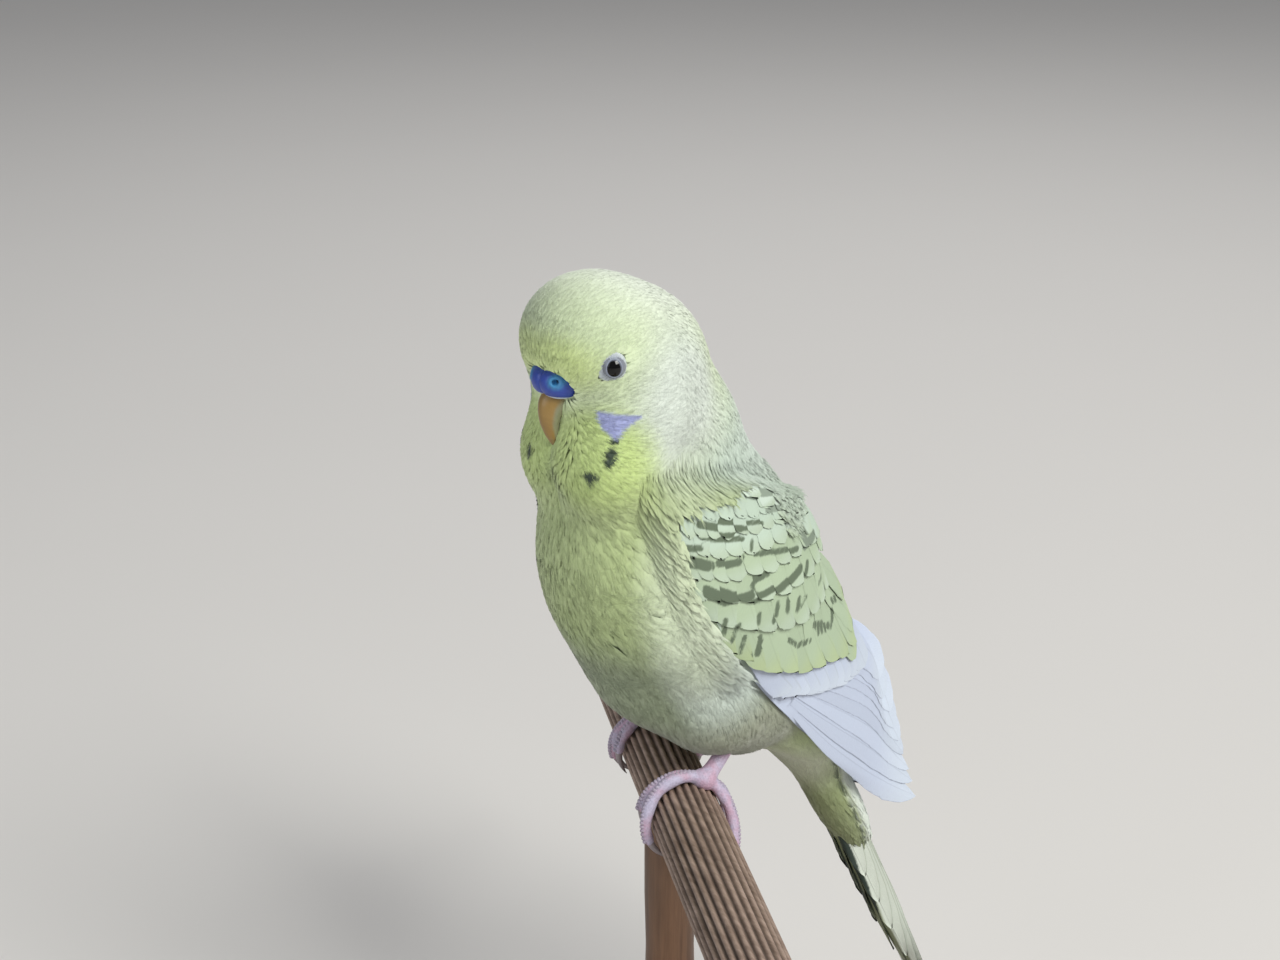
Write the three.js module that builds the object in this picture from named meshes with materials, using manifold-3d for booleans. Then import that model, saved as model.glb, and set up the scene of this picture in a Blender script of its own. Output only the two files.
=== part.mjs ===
// A life-size budgerigar standing on a cut length of fluted dowel, on a plain display stand.
// Millimetres, +Z up. The bird faces -Y and its own left side is +X. The origin is the centre of
// the underside of the round base, straight below the point of the dowel between the two feet.
import * as THREE from "three";
import { mergeVertices } from "three/addons/utils/BufferGeometryUtils.js";
import Module from "manifold-3d";

const wasm = await Module();
wasm.setup();

// Driving dimensions
const GAP = 0.3; // clearance kept between pieces that touch
const PERCH_RADIUS = 6; // a 12 mm dowel
const PERCH_HALF_LENGTH = 78;
const PERCH_YAW = -27.5; // degrees from +X towards -Y, so that the near end comes forward
const FLUTES = 26;
const FLUTE_DEPTH = 0.55;
const BASE_RADIUS = 55;
const BASE_HEIGHT = 11;
const BASE_EDGE = 2.5; // rounding of the base's upper edge
const POST_RADIUS = 4.5;
const COLLAR_RADIUS = 7.5;
const COLLAR_HEIGHT = 7;
const TAIL_CLEARANCE = 6; // from the tip of the hanging tail to the base
const TAIL_DROP = 72; // the tail tip, below the top of the dowel
const PERCH_TOP = BASE_HEIGHT + TAIL_CLEARANCE + TAIL_DROP;
const FOOT_SPREAD = 14.5; // each foot from the middle, along the dowel
const WING_LENGTH = 101; // from the bend to the tip, along the lower edge
const TAIL_LENGTH = 84; // the longest tail feathers, from their root

// Colours
const PALE_YELLOW = "#e6efb4";
const PALE_GREEN = "#cfe0b6";
const WING_GREEN = "#b9c8a6";
const TAIL_OLIVE = "#a9b388";
const CERE_BLUE = "#3f68b8";
const BEAK_ORANGE = "#b98c44";
const EYE_BLACK = "#120f10";
const FOOT_PINK = "#b39aa8";
const CLAW_GREY = "#8d8078";
const WOOD_BROWN = "#8a6a52";
const STAND_WOOD = "#6b5343";

const lerp = THREE.MathUtils.lerp;
const rad = THREE.MathUtils.degToRad;
const smooth = (x) => THREE.MathUtils.smoothstep(x, 0, 1);

// Closed meshes and solids

/** A manifold-3d solid of a closed three.js geometry. */
function solidOf(geometry) {
  const bare = geometry.clone();
  for (const name of Object.keys(bare.attributes)) {
    if (name !== "position") bare.deleteAttribute(name);
  }
  const merged = mergeVertices(bare, 1e-4);
  const mesh = new wasm.Mesh({
    numProp: 3,
    vertProperties: merged.attributes.position.array,
    triVerts: new Uint32Array(merged.index.array),
  });
  const solid = new wasm.Manifold(mesh);
  if (solid.volume() < 0) throw new Error("a piece is inside out");
  return solid;
}

/** A three.js geometry of a solid's largest closed surface. */
function geometryOf(solid) {
  const largest = solid.decompose().sort((a, b) => b.volume() - a.volume())[0];
  const mesh = largest.getMesh();
  const geometry = new THREE.BufferGeometry();
  geometry.setAttribute("position", new THREE.BufferAttribute(mesh.vertProperties, 3));
  geometry.setIndex(new THREE.BufferAttribute(mesh.triVerts, 1));
  return geometry;
}

/** The union of a list of solids. */
const fuse = (solids) => solids.reduce((whole, piece) => whole.add(piece));

/** Six times the volume that a list of faces encloses, below zero where they point inwards. */
function turning(points, faces) {
  let sum = 0;
  for (let i = 0; i < faces.length; i += 3) {
    const [a, b, c] = [points[faces[i]], points[faces[i + 1]], points[faces[i + 2]]];
    sum += a.dot(new THREE.Vector3().crossVectors(b, c));
  }
  return sum;
}

/** The mean of a ring of points. */
function middleOf(ring) {
  const sum = new THREE.Vector3();
  for (const point of ring) sum.add(point);
  return sum.divideScalar(ring.length);
}

/** A closed geometry through rings of equal length, each a list of points, with a fan at both ends. */
function loft(rings) {
  const count = rings[0].length;
  const points = rings.flat();
  const first = points.length;
  points.push(middleOf(rings[0]), middleOf(rings[rings.length - 1]));
  const faces = [];
  for (let r = 0; r + 1 < rings.length; r++) {
    for (let i = 0; i < count; i++) {
      const j = (i + 1) % count;
      const [a, b, c, d] = [r * count + i, r * count + j, (r + 1) * count + j, (r + 1) * count + i];
      faces.push(a, b, c, a, c, d);
    }
  }
  const last = (rings.length - 1) * count;
  for (let i = 0; i < count; i++) {
    const j = (i + 1) % count;
    faces.push(first, j, i, first + 1, last + i, last + j);
  }
  if (turning(points, faces) < 0) faces.reverse();
  return new THREE.BufferGeometry().setFromPoints(points).setIndex(faces);
}

/** A closed tube of round section along a list of points, with a radius at each. */
function tube(path, radii, sides = 10) {
  const along = (i) => {
    const before = path[Math.max(0, i - 1)];
    const after = path[Math.min(path.length - 1, i + 1)];
    return after.clone().sub(before).normalize();
  };
  let across = new THREE.Vector3(0.31, 0.17, 0.93);
  const rings = path.map((p, i) => {
    const t = along(i);
    across = across.clone().addScaledVector(t, -across.dot(t)).normalize();
    const other = new THREE.Vector3().crossVectors(t, across);
    return Array.from({ length: sides }, (_, k) => {
      const angle = (k / sides) * 2 * Math.PI;
      return p
        .clone()
        .addScaledVector(across, radii[i] * Math.cos(angle))
        .addScaledVector(other, radii[i] * Math.sin(angle));
    });
  });
  return loft(rings);
}

// The bird is drawn in its own frame: side (+ to its left), forward, and height above the dowel.

/** A point of the bird's frame as a vector: forward is -Y. */
const at = (side, forward, height) => new THREE.Vector3(side, -forward, height);

/** An ellipsoid about a point of the bird's frame, tipped back by lean degrees. */
function ellipsoid(centre, halfSide, halfForward, halfHeight, lean = 0, detail = [14, 10]) {
  const geometry = new THREE.SphereGeometry(1, detail[0], detail[1]);
  geometry.scale(halfSide, halfForward, halfHeight);
  geometry.rotateX(-rad(lean));
  geometry.translate(centre.x, centre.y, centre.z);
  return geometry;
}

// The feathered body, one smooth form of a few named lumps

/** A rounded lump: its centre and its half sizes, leaning back by lean degrees. */
const lump = (side, forward, height, halfSide, halfForward, halfHeight, lean = 0) => ({
  side, forward, height, halfSide, halfForward, halfHeight, lean: rad(lean),
});

const BODY = {
  skull: lump(0, 10.4, 71.5, 13.2, 13.6, 12.8),
  forehead: lump(0, 16.1, 76.7, 12.4, 10.7, 10.2),
  cheek: lump(5.2, 11.8, 65.2, 8.3, 9.8, 8.5),
  mask: lump(4.5, 15.9, 56.3, 9.7, 8.8, 9.7, -8),
  nape: lump(0, 1.5, 59.7, 12.3, 11.1, 16, -30),
  breast: lump(0, 5.7, 37, 17.9, 17.4, 24.1, -12),
  back: lump(0, -10, 37, 15.8, 12.9, 27, -30),
  belly: lump(0, -1.9, 21.6, 16.6, 17.1, 17.3, -25),
  vent: lump(0, -17, 10, 13.2, 11.8, 14, -40),
  thigh: lump(9.5, -1.5, 11.3, 8.6, 8.9, 7.6),
  taperTop: lump(0, -27.3, -2.1, 7.9, 6.2, 16.7, -39),
  taperEnd: lump(0, -37.9, -20.2, 4.8, 4.2, 16.4, -30),
};
const BLEND = 1.5; // how softly the lumps run into each other

/** Roughly how far a point lies outside a lump, in millimetres. */
function outside(one, side, forward, height) {
  const s = (Math.abs(side) - one.side) / one.halfSide;
  const df = forward - one.forward;
  const dh = height - one.height;
  const c = Math.cos(one.lean);
  const n = Math.sin(one.lean);
  const f = (df * c + dh * n) / one.halfForward;
  const h = (dh * c - df * n) / one.halfHeight;
  const scaled = Math.hypot(s, f, h);
  const slope = Math.hypot(s / one.halfSide, f / one.halfForward, h / one.halfHeight);
  return (scaled * (scaled - 1)) / Math.max(slope, 1e-6);
}

/** How far a point lies outside the smooth body. */
function outsideBody(side, forward, height) {
  let sum = 0;
  for (const one of Object.values(BODY)) sum += Math.exp(-outside(one, side, forward, height) / BLEND);
  return -BLEND * Math.log(sum);
}

/** How far a vector of the bird's frame lies outside the body. */
const clear = (p) => outsideBody(p.x, -p.y, p.z);

// The line through the body that its rings are set on, from the head to the end of the tail coverts
const HEAD_CENTRE = [9.5, 71];
const NECK_CENTRE = [0, 46];
const RUMP_CENTRE = [-19, 6];
const TAPER_CENTRE = [-40, -26];
const FACE_ANGLE = 166; // the direction from the bill back through the head, in the side view
const TRUNK_ANGLE = 241;
const TAIL_ANGLE = 236;

/** The centre, tailward direction and opening of the ring at t: 0 at the bill, 3 at the tail's root. */
function ringAt(t) {
  const along = (from, to, share) => [lerp(from[0], to[0], share), lerp(from[1], to[1], share)];
  if (t < 1) return { centre: HEAD_CENTRE, angle: FACE_ANGLE, opening: 90 * t };
  if (t < 2) {
    const angle = lerp(FACE_ANGLE, TRUNK_ANGLE, t - 1);
    return { centre: along(HEAD_CENTRE, NECK_CENTRE, t - 1), angle, opening: 90 };
  }
  if (t < 3) {
    const angle = lerp(TRUNK_ANGLE, TAIL_ANGLE, t - 2);
    return { centre: along(NECK_CENTRE, RUMP_CENTRE, t - 2), angle, opening: 90 };
  }
  if (t < 4) return { centre: along(RUMP_CENTRE, TAPER_CENTRE, t - 3), angle: TAIL_ANGLE, opening: 90 };
  return { centre: TAPER_CENTRE, angle: TAIL_ANGLE, opening: 90 + 90 * (t - 4) };
}

/** The body's surface at ring t and turn degrees round it, 0 on the back and 90 on the bird's left. */
function bodyPoint(t, turn, grow = 0) {
  const { centre, angle, opening } = ringAt(t);
  const axis = [Math.cos(rad(angle)), Math.sin(rad(angle))];
  const dorsal = [axis[1], -axis[0]];
  const open = rad(opening);
  const direction = [
    Math.sin(open) * Math.sin(rad(turn)),
    -Math.cos(open) * axis[0] + Math.sin(open) * Math.cos(rad(turn)) * dorsal[0],
    -Math.cos(open) * axis[1] + Math.sin(open) * Math.cos(rad(turn)) * dorsal[1],
  ];
  let near = 0;
  let far = 45;
  for (let i = 0; i < 24; i++) {
    const middle = (near + far) / 2;
    const forward = centre[0] + direction[1] * middle;
    const height = centre[1] + direction[2] * middle;
    if (outsideBody(direction[0] * middle, forward, height) < grow) near = middle;
    else far = middle;
  }
  return at(direction[0] * near, centre[0] + direction[1] * near, centre[1] + direction[2] * near);
}

const AROUND = 36;
const RING_STEPS = [[0.02, 1, 8], [1, 2, 7], [2, 3, 8], [3, 4, 6], [4, 4.95, 3]];

/** The whole body as one solid, grown outwards all over by grow. */
function bodySolid(grow) {
  const stations = RING_STEPS.flatMap(([from, to, steps]) =>
    Array.from({ length: steps }, (_, i) => lerp(from, to, (i + 0.5) / steps)),
  );
  const ring = (t) => Array.from({ length: AROUND }, (_, i) => bodyPoint(t, (360 * i) / AROUND, grow));
  return solidOf(loft(stations.map(ring)));
}
const body = bodySolid(0);
const bodyRoom = bodySolid(GAP);

/** A thin slab across the body through a point of the side view, its plane leaning by slope degrees. */
function slab(forward, height, slope) {
  const geometry = new THREE.BoxGeometry(90, 90, GAP);
  geometry.rotateX(-rad(slope));
  geometry.translate(0, -forward, height);
  return solidOf(geometry);
}

// Where the body is parted: a point of the side view and how far the cut slopes, front edge down
const CUTS = {
  headFromNeck: [8, 56.5, -22],
  neckFromTorso: [3, 47.5, -13],
  torsoFromTail: [-25, -4, 146],
};

/** The body's pieces in order from the head to the tail, with the thin cuts between them. */
function partedBody() {
  let whole = body;
  for (const cut of Object.values(CUTS)) whole = whole.subtract(slab(...cut));
  const middle = (solid) => {
    const { min, max } = solid.boundingBox();
    return (min[2] + max[2]) / 2;
  };
  const pieces = whole.decompose().filter((solid) => solid.volume() > 50);
  return pieces.sort((a, b) => middle(b) - middle(a));
}
const [headForm, neckForm, torsoForm, tailForm] = partedBody();

// Face: eyes with their lids, the cere with its nostrils, and the beak

const EYE = { side: 11.5, forward: 20.7, height: 75.4, radius: 2.1, opening: 1.6, lid: 0.42, sunk: 1.15 };
const EYE_OUTWARD = [0.85, 0.52, 0]; // side, forward and height of the way the eye looks

/** The middle of an eye's ball, with the way it looks, on one side of the head: +1 left, -1 right. */
function eyePlace(sign) {
  const out = at(EYE_OUTWARD[0] * sign, EYE_OUTWARD[1], EYE_OUTWARD[2]).normalize();
  const rim = at(EYE.side * sign, EYE.forward, EYE.height);
  return { out, rim, ball: rim.clone().addScaledVector(out, -EYE.sunk) };
}

/** The ring of the eyelids. */
function lidRing(sign) {
  const { out, rim } = eyePlace(sign);
  const geometry = new THREE.TorusGeometry(EYE.opening + EYE.lid * 0.6, EYE.lid, 5, 12);
  geometry.scale(1, 1.18, 1);
  geometry.lookAt(out);
  geometry.translate(rim.x + out.x * 0.12, rim.y + out.y * 0.12, rim.z + out.z * 0.12);
  return solidOf(geometry);
}

/** A ball about the middle of an eye. */
function eyeBall(sign, radius) {
  const geometry = new THREE.SphereGeometry(radius, 12, 8);
  const { ball } = eyePlace(sign);
  geometry.translate(ball.x, ball.y, ball.z);
  return solidOf(geometry);
}

// The middle of the cere's left lobe and its half sizes
const CERE = {
  side: 2.05, forward: 24.7, height: 71.1, halfSide: 2.35, halfForward: 2.3, halfHeight: 2.35,
};
const NOSTRIL = { side: 1.9, height: 71.9, radius: 0.5, depth: 0.9 };

/** The cere, two soft lobes side by side, grown by grow. */
function cereSolid(grow) {
  const lobes = [1, -1].map((sign) => {
    const centre = at(CERE.side * sign, CERE.forward, CERE.height);
    const { halfSide, halfForward, halfHeight } = CERE;
    return solidOf(
      ellipsoid(centre, halfSide + grow, halfForward + grow, halfHeight + grow, -12, [12, 8]),
    );
  });
  return fuse(lobes);
}

/** The pit of a nostril, straight into the front of the cere. */
function nostril(sign) {
  const geometry = new THREE.CylinderGeometry(NOSTRIL.radius, NOSTRIL.radius, 4, 10);
  const front = CERE.forward + CERE.halfForward - NOSTRIL.depth + 2;
  geometry.translate(NOSTRIL.side * sign, -front, NOSTRIL.height);
  return solidOf(geometry);
}

/** A stretch of the bill: its middle in the side view, its half width and half depth, and its heading. */
const bill = (forward, height, halfSide, halfDepth, angle) => ({
  forward, height, halfSide, halfDepth, angle,
});

const UPPER_BILL = [
  bill(19.5, 68.8, 2.3, 2.2, 0),
  bill(22.4, 68.3, 2.9, 2.5, -8),
  bill(24.4, 66.9, 2.8, 2.3, -40),
  bill(25.0, 64.8, 2.3, 1.8, -68),
  bill(24.7, 62.6, 1.6, 1.25, -88),
  bill(24.1, 60.8, 0.9, 0.75, -102),
  bill(23.5, 59.6, 0.3, 0.3, -110),
];
const LOWER_BILL = [
  bill(18, 63.6, 2.1, 1.7, 0),
  bill(20.2, 63.2, 2.3, 1.7, -6),
  bill(22, 62.9, 2, 1.3, -14),
  bill(22.9, 62.7, 1.2, 0.8, -20),
];

/** A bill through its stretches, grown by grow. */
function billSolid(stretches, grow, sides = 12) {
  const rings = stretches.map((b) => {
    const lift = rad(b.angle + 90);
    return Array.from({ length: sides }, (_, k) => {
      const angle = (k / sides) * 2 * Math.PI;
      const across = (b.halfSide + grow) * Math.sin(angle);
      const up = (b.halfDepth + grow) * Math.cos(angle);
      return at(across, b.forward + up * Math.cos(lift), b.height + up * Math.sin(lift));
    });
  });
  return solidOf(loft(rings));
}

/** The head with its sockets, lids and the beds of the cere and the bill. */
function headSolid() {
  let head = fuse([headForm, lidRing(1), lidRing(-1)]);
  for (const sign of [1, -1]) head = head.subtract(eyeBall(sign, EYE.radius + GAP));
  for (const bed of [cereSolid(GAP), billSolid(UPPER_BILL, GAP), billSolid(LOWER_BILL, GAP)]) {
    head = head.subtract(bed);
  }
  return head;
}

/** The cere with its nostrils, clear of the upper bill. */
function finishedCere() {
  return cereSolid(0).subtract(nostril(1)).subtract(nostril(-1)).subtract(billSolid(UPPER_BILL, GAP));
}

// The folded wing, drawn flat: u runs from its bend to its tip, v up from its lower edge to the back

// The lower edge's five control points: side, forward and height
const WING_EDGE = [
  [18, 13.2, 49.9],
  [20.9, 9.9, 23],
  [21.7, -15.6, 3.8],
  [8.1, -30.6, -8.7],
  [4.7, -54.3, -24],
];
// At each quarter of its length: how far the wing's face tips upwards and how tightly it bends round
const WING_TIP_UP = [-10, -18, 1, 7, 31];
const WING_BEND_RADIUS = [32, 25, 35, 39, 73];

/** A value that eases between five stations evenly spaced along the wing. */
function alongWing(stations, u) {
  const place = THREE.MathUtils.clamp((u / 100) * 4, 0, 4);
  const i = Math.min(Math.floor(place), 3);
  return lerp(stations[i], stations[i + 1], smooth(place - i));
}

/** The wing's lower edge, u millimetres from its bend. */
function wingEdge(u) {
  const s = u / WING_LENGTH;
  const weights = [1, 4, 6, 4, 1].map((w, i) => w * s ** i * (1 - s) ** (4 - i));
  const sum = (axis) => weights.reduce((total, w, i) => total + w * WING_EDGE[i][axis], 0);
  return at(sum(0), sum(1), sum(2));
}

/** A point over the left wing's face, lift above it, with the way the face looks there. */
function wingPoint(u, v, lift = 0) {
  const along = wingEdge(u + 0.5).sub(wingEdge(u - 0.5)).normalize();
  const side = new THREE.Vector3(1, 0, 0).addScaledVector(along, -along.x).normalize();
  const upward = new THREE.Vector3().crossVectors(side, along);
  if (upward.z + upward.y < 0) upward.negate();
  const tip = rad(alongWing(WING_TIP_UP, u));
  const out = side.clone().multiplyScalar(Math.cos(tip)).addScaledVector(upward, Math.sin(tip));
  const chord = upward.clone().multiplyScalar(Math.cos(tip)).addScaledVector(side, -Math.sin(tip));
  const radius = alongWing(WING_BEND_RADIUS, u);
  const angle = v / radius;
  const normal = out.clone().multiplyScalar(Math.cos(angle)).addScaledVector(chord, Math.sin(angle));
  const point = wingEdge(u)
    .addScaledVector(chord, radius * Math.sin(angle))
    .addScaledVector(out, radius * (Math.cos(angle) - 1))
    .addScaledVector(normal, lift);
  return { point, normal };
}

// The wing's flesh and small feathers under the vanes: u, the highest v and the greatest depth
const WING_CORE = [
  [0.5, 18, 2], [4, 25, 3.2], [9, 29, 4], [15, 31.5, 4.6], [22, 33, 5], [29, 33.5, 5],
  [36, 33, 4.6], [43, 31.5, 4], [50, 28, 3.4], [57, 22, 2.6], [63, 15, 1.8], [68, 9.5, 1.2],
];
const CORE_ACROSS = 7;
const WING_FLOOR = 0.5; // the core's underside above the body

/** The wing's core, lying close on the body. */
function wingCore() {
  const rings = WING_CORE.map(([u, highest, depth]) => {
    const outer = [];
    const inner = [];
    for (let i = 0; i <= CORE_ACROSS; i++) {
      const v = lerp(0.6, highest, i / CORE_ACROSS);
      const edge = smooth(Math.min(v / 5, (highest - v) / 4, u / 7));
      const { point, normal } = wingPoint(u, v);
      let deep = 0;
      while (deep < depth && clear(point.clone().addScaledVector(normal, -deep)) > WING_FLOOR) deep += 0.1;
      const lift = Math.max(lerp(-1.4, -0.25, edge), 0.5 - deep);
      outer.push(point.clone().addScaledVector(normal, lift));
      inner.unshift(point.clone().addScaledVector(normal, -deep));
    }
    return [...outer, ...inner];
  });
  return solidOf(loft(rings));
}

const BLADE = [[0, 0.5], [0.35, 0.88], [0.7, 1], [0.92, 0.6], [1, 0.16]]; // a flight feather's outline
const SHINGLE = [[0, 0.8], [0.6, 1], [0.9, 0.68], [1, 0.24]]; // a covert's outline

/**
 * A vane on the wing's face from root to tip, both [u, v]: a blade that is widest past its middle,
 * round at its end and ridged along its shaft. Its upper face rises from low at its root to high.
 */
function wingVane({ shape, root, tip, width, low, high, thickness }) {
  const [du, dv] = [tip[0] - root[0], tip[1] - root[1]];
  const length = Math.hypot(du, dv);
  const rings = shape.map(([s, share]) => {
    const half = (width / 2) * share;
    const lift = lerp(low, high, s);
    const on = (across, above) => {
      const u = root[0] + du * s - (dv / length) * across;
      const v = root[1] + dv * s + (du / length) * across;
      return wingPoint(u, v, above).point;
    };
    const top = [on(-half, lift - 0.15), on(0, lift + 0.1), on(half, lift - 0.15)];
    return [...top, on(half * 0.8, lift - thickness), on(-half * 0.8, lift - thickness)];
  });
  return solidOf(loft(rings));
}

/** Vanes in a row: tips and roots run along a curve of three points each, and the row climbs. */
function vaneRow({ shape, count, tips, roots, widths, lifts, rise, thickness }) {
  return Array.from({ length: count }, (_, i) => {
    const share = i / (count - 1);
    const bend = ([from, through, to]) => {
      const first = [0, 1].map((axis) => lerp(from[axis], through[axis], share));
      const second = [0, 1].map((axis) => lerp(through[axis], to[axis], share));
      return [0, 1].map((axis) => lerp(first[axis], second[axis], share));
    };
    const high = lerp(lifts[0], lifts[1], share);
    return wingVane({
      shape,
      root: bend(roots),
      tip: bend(tips),
      width: lerp(widths[0], widths[1], share),
      low: high - rise,
      high,
      thickness,
    });
  });
}

// Each row from its lowest, outermost feather to its uppermost, innermost one
const PRIMARIES = {
  shape: BLADE, count: 5, widths: [7, 9.6], lifts: [-0.1, 1], rise: 0.2, thickness: 0.65,
  tips: [[104, 2.2], [95, 13.5], [79, 19.5]], roots: [[44, 3.6], [46, 8], [42, 14]],
};
const SECONDARIES = {
  shape: BLADE, count: 4, widths: [8.5, 10], lifts: [0.4, 1.5], rise: 0.6, thickness: 0.65,
  tips: [[45, 4.4], [75, 11], [73, 27]], roots: [[24, 5], [30, 12], [38, 27]],
};
const GREATER_COVERTS = {
  shape: SHINGLE, count: 5, widths: [7, 9.4], lifts: [0.6, 1.6], rise: 1.1, thickness: 0.9,
  tips: [[25, 1.4], [46, 6], [61, 24]], roots: [[13, 3], [31, 9.5], [43, 28]],
};
const MEDIAN_COVERTS = {
  shape: SHINGLE, count: 4, widths: [8, 10], lifts: [0.6, 1.5], rise: 1.1, thickness: 0.9,
  tips: [[17.5, 2.6], [34, 9.5], [46, 26]], roots: [[7.5, 4.5], [22, 13], [32, 28]],
};
const LESSER_COVERTS = {
  shape: SHINGLE, count: 4, widths: [7, 8.8], lifts: [0.5, 1.3], rise: 1, thickness: 0.9,
  tips: [[10, 3.4], [21, 10], [31, 25]], roots: [[2, 6], [10, 13], [18, 27]],
};
const SHOULDER_COVERTS = {
  shape: SHINGLE, count: 2, widths: [8, 9], lifts: [0.4, 1.1], rise: 0.9, thickness: 0.9,
  tips: [[7, 9], [11, 14], [17, 21]], roots: [[0, 11], [3, 15], [6, 22]],
};
const WING_ROWS = [
  PRIMARIES, SECONDARIES, GREATER_COVERTS, MEDIAN_COVERTS, LESSER_COVERTS, SHOULDER_COVERTS,
];

/** A closed geometry mirrored to the bird's other side. */
function mirrored(geometry) {
  const other = geometry.clone().scale(-1, 1, 1);
  other.index.array.reverse();
  return other;
}

/** The left wing, its vanes fused to its core, clear of the body and of the other wing. */
function wingGeometry() {
  const otherSide = solidOf(new THREE.BoxGeometry(60, 200, 200).translate(-30 + GAP * 0.7, 0, 0));
  const vanes = WING_ROWS.flatMap(vaneRow);
  return geometryOf(fuse([wingCore(), ...vanes]).subtract(bodyRoom).subtract(otherSide));
}

// The tail: a narrow stack of long vanes, the middle pair longest and uppermost

const TAIL_ROOT = [-30.5, -1.5]; // forward and height of the vanes' root, inside the coverts
const TAIL_SLOPE = 63; // how far the tail hangs below the level
// Each pair: its length, its width, its lean outwards in degrees and its depth under the middle pair
const TAIL_PAIRS = [
  [84, 6.6, 0.1, 0],
  [74, 6.4, 0.6, 0.5],
  [65, 6.2, 1.15, 1],
  [56, 5.8, 1.8, 1.5],
  [48, 5.4, 2.5, 2],
];

/** A point of the tail: along it from its root, across it to the bird's left and above its face. */
function tailPoint(along, across, above) {
  const c = Math.cos(rad(TAIL_SLOPE));
  const s = Math.sin(rad(TAIL_SLOPE));
  const lift = above - 1.2 * (along / TAIL_LENGTH) ** 2;
  return at(across, TAIL_ROOT[0] - along * c - lift * s, TAIL_ROOT[1] - along * s + lift * c);
}

/** One vane of the tail on a side of it, +1 left and -1 right. */
function tailVane([length, width, lean, depth], sign) {
  const shape = [[0, 0.7], [0.4, 1], [0.65, 0.92], [0.85, 0.62], [0.96, 0.3], [1, 0.1]];
  const step = sign > 0 ? 0 : 0.28;
  const rings = shape.map(([s, share]) => {
    const along = length * s;
    const shaft = sign * (0.5 + along * Math.tan(rad(lean)) + 0.6 * share);
    const half = (width / 2) * share;
    const top = -depth - step;
    return [
      tailPoint(along, shaft - half, top - 0.1),
      tailPoint(along, shaft, top + 0.2),
      tailPoint(along, shaft + half, top - 0.25),
      tailPoint(along, shaft + half, top - 0.85),
      tailPoint(along, shaft - half, top - 0.75),
    ];
  });
  return solidOf(loft(rings));
}

/** The tail's coverts with its vanes fused into them. */
function tailSolid() {
  const vanes = TAIL_PAIRS.flatMap((pair) => [tailVane(pair, 1), tailVane(pair, -1)]);
  return fuse([tailForm, ...vanes]).subtract(torsoRoom());
}

/** The room that the torso and the parts before it need behind the tail's cut. */
function torsoRoom() {
  const [forward, height, slope] = CUTS.torsoFromTail;
  const geometry = new THREE.BoxGeometry(90, 90, 90);
  geometry.translate(0, 0, -45 - GAP / 2);
  geometry.rotateX(-rad(slope));
  geometry.translate(0, -forward, height);
  return solidOf(geometry);
}

// Legs and feet: toes wound round the dowel, two to the front and two behind

const TOE_RADIUS = 1.05;
const TOE_ROUND = PERCH_RADIUS + GAP + TOE_RADIUS; // from the dowel's middle to a toe's
const CLAW_LENGTH = 4.6;
const CLAW_RADIUS = 0.62;
const CLAW_TURN = 34; // how much further round the dowel a claw reaches, in degrees
// Each toe: how far round the dowel it ends, in degrees to the front, and how far along it drifts
const TOES = [
  { end: 92, drift: 1.5 },
  { end: 118, drift: 8.5 },
  { end: -104, drift: 6 },
  { end: -84, drift: -2.5 },
];
const PALM_TURN = 2; // how far round the dowel from its top the palm lies, in degrees

/** A point by the dowel: along it from the middle, turned round it from its top, and from its axis. */
function byPerch(along, turn, radius) {
  const yaw = rad(PERCH_YAW);
  const axis = new THREE.Vector3(Math.cos(yaw), Math.sin(yaw), 0);
  const front = new THREE.Vector3(Math.sin(yaw), -Math.cos(yaw), 0);
  return new THREE.Vector3(0, 0, -PERCH_RADIUS)
    .addScaledVector(axis, along)
    .addScaledVector(front, radius * Math.sin(rad(turn)))
    .addScaledVector(new THREE.Vector3(0, 0, 1), radius * Math.cos(rad(turn)));
}

/** The middle line of a toe or its claw between two shares of its sweep, 1 at the toe's end. */
function toePath(foot, toe, from, to, steps) {
  const start = Math.sign(toe.end) * 4;
  return Array.from({ length: steps + 1 }, (_, i) => {
    const s = lerp(from, to, i / steps);
    const turn = s <= 1 ? lerp(start, toe.end, s) : toe.end + Math.sign(toe.end) * CLAW_TURN * (s - 1);
    const drift = toe.drift * smooth(Math.min(s, 1) * 0.75) * 1.2;
    const rise = s <= 1 ? 0.5 * Math.sin(Math.PI * Math.min(1, s * 1.5)) ** 2 : -0.45 * (s - 1);
    return byPerch(foot * FOOT_SPREAD + drift, turn, TOE_ROUND + rise);
  });
}

/** A scaled toe, thick at each of its joints. */
function toeSolid(foot, toe) {
  const steps = 7;
  const radii = Array.from({ length: steps + 1 }, (_, i) => {
    const s = i / steps;
    return TOE_RADIUS * (lerp(1.05, 0.82, s) + 0.06 * Math.cos(s * 6 * Math.PI)) * (s === 1 ? 0.8 : 1);
  });
  return solidOf(tube(toePath(foot, toe, 0, 1, steps), radii, 6));
}

/** A claw beyond a toe's end, down to its point. */
function clawGeometry(foot, toe) {
  const reach = CLAW_LENGTH / (TOE_ROUND * rad(CLAW_TURN));
  const gap = GAP / (TOE_ROUND * rad(CLAW_TURN));
  const path = toePath(foot, toe, 1 + gap * 1.1, 1 + gap + reach, 4);
  const radii = path.map((_, i) => lerp(CLAW_RADIUS, 0.12, (i / 4) ** 1.3));
  return geometryOf(solidOf(tube(path, radii, 6)));
}

// The tarsus: from the back of the palm up into the belly's feathers
const TARSUS_RADIUS = 1.35;
// The hock inside the belly, and how far it shifts back and forth with its foot
const HOCK = { side: 10.2, forward: -9, height: 10, follow: 0.35 };

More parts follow.
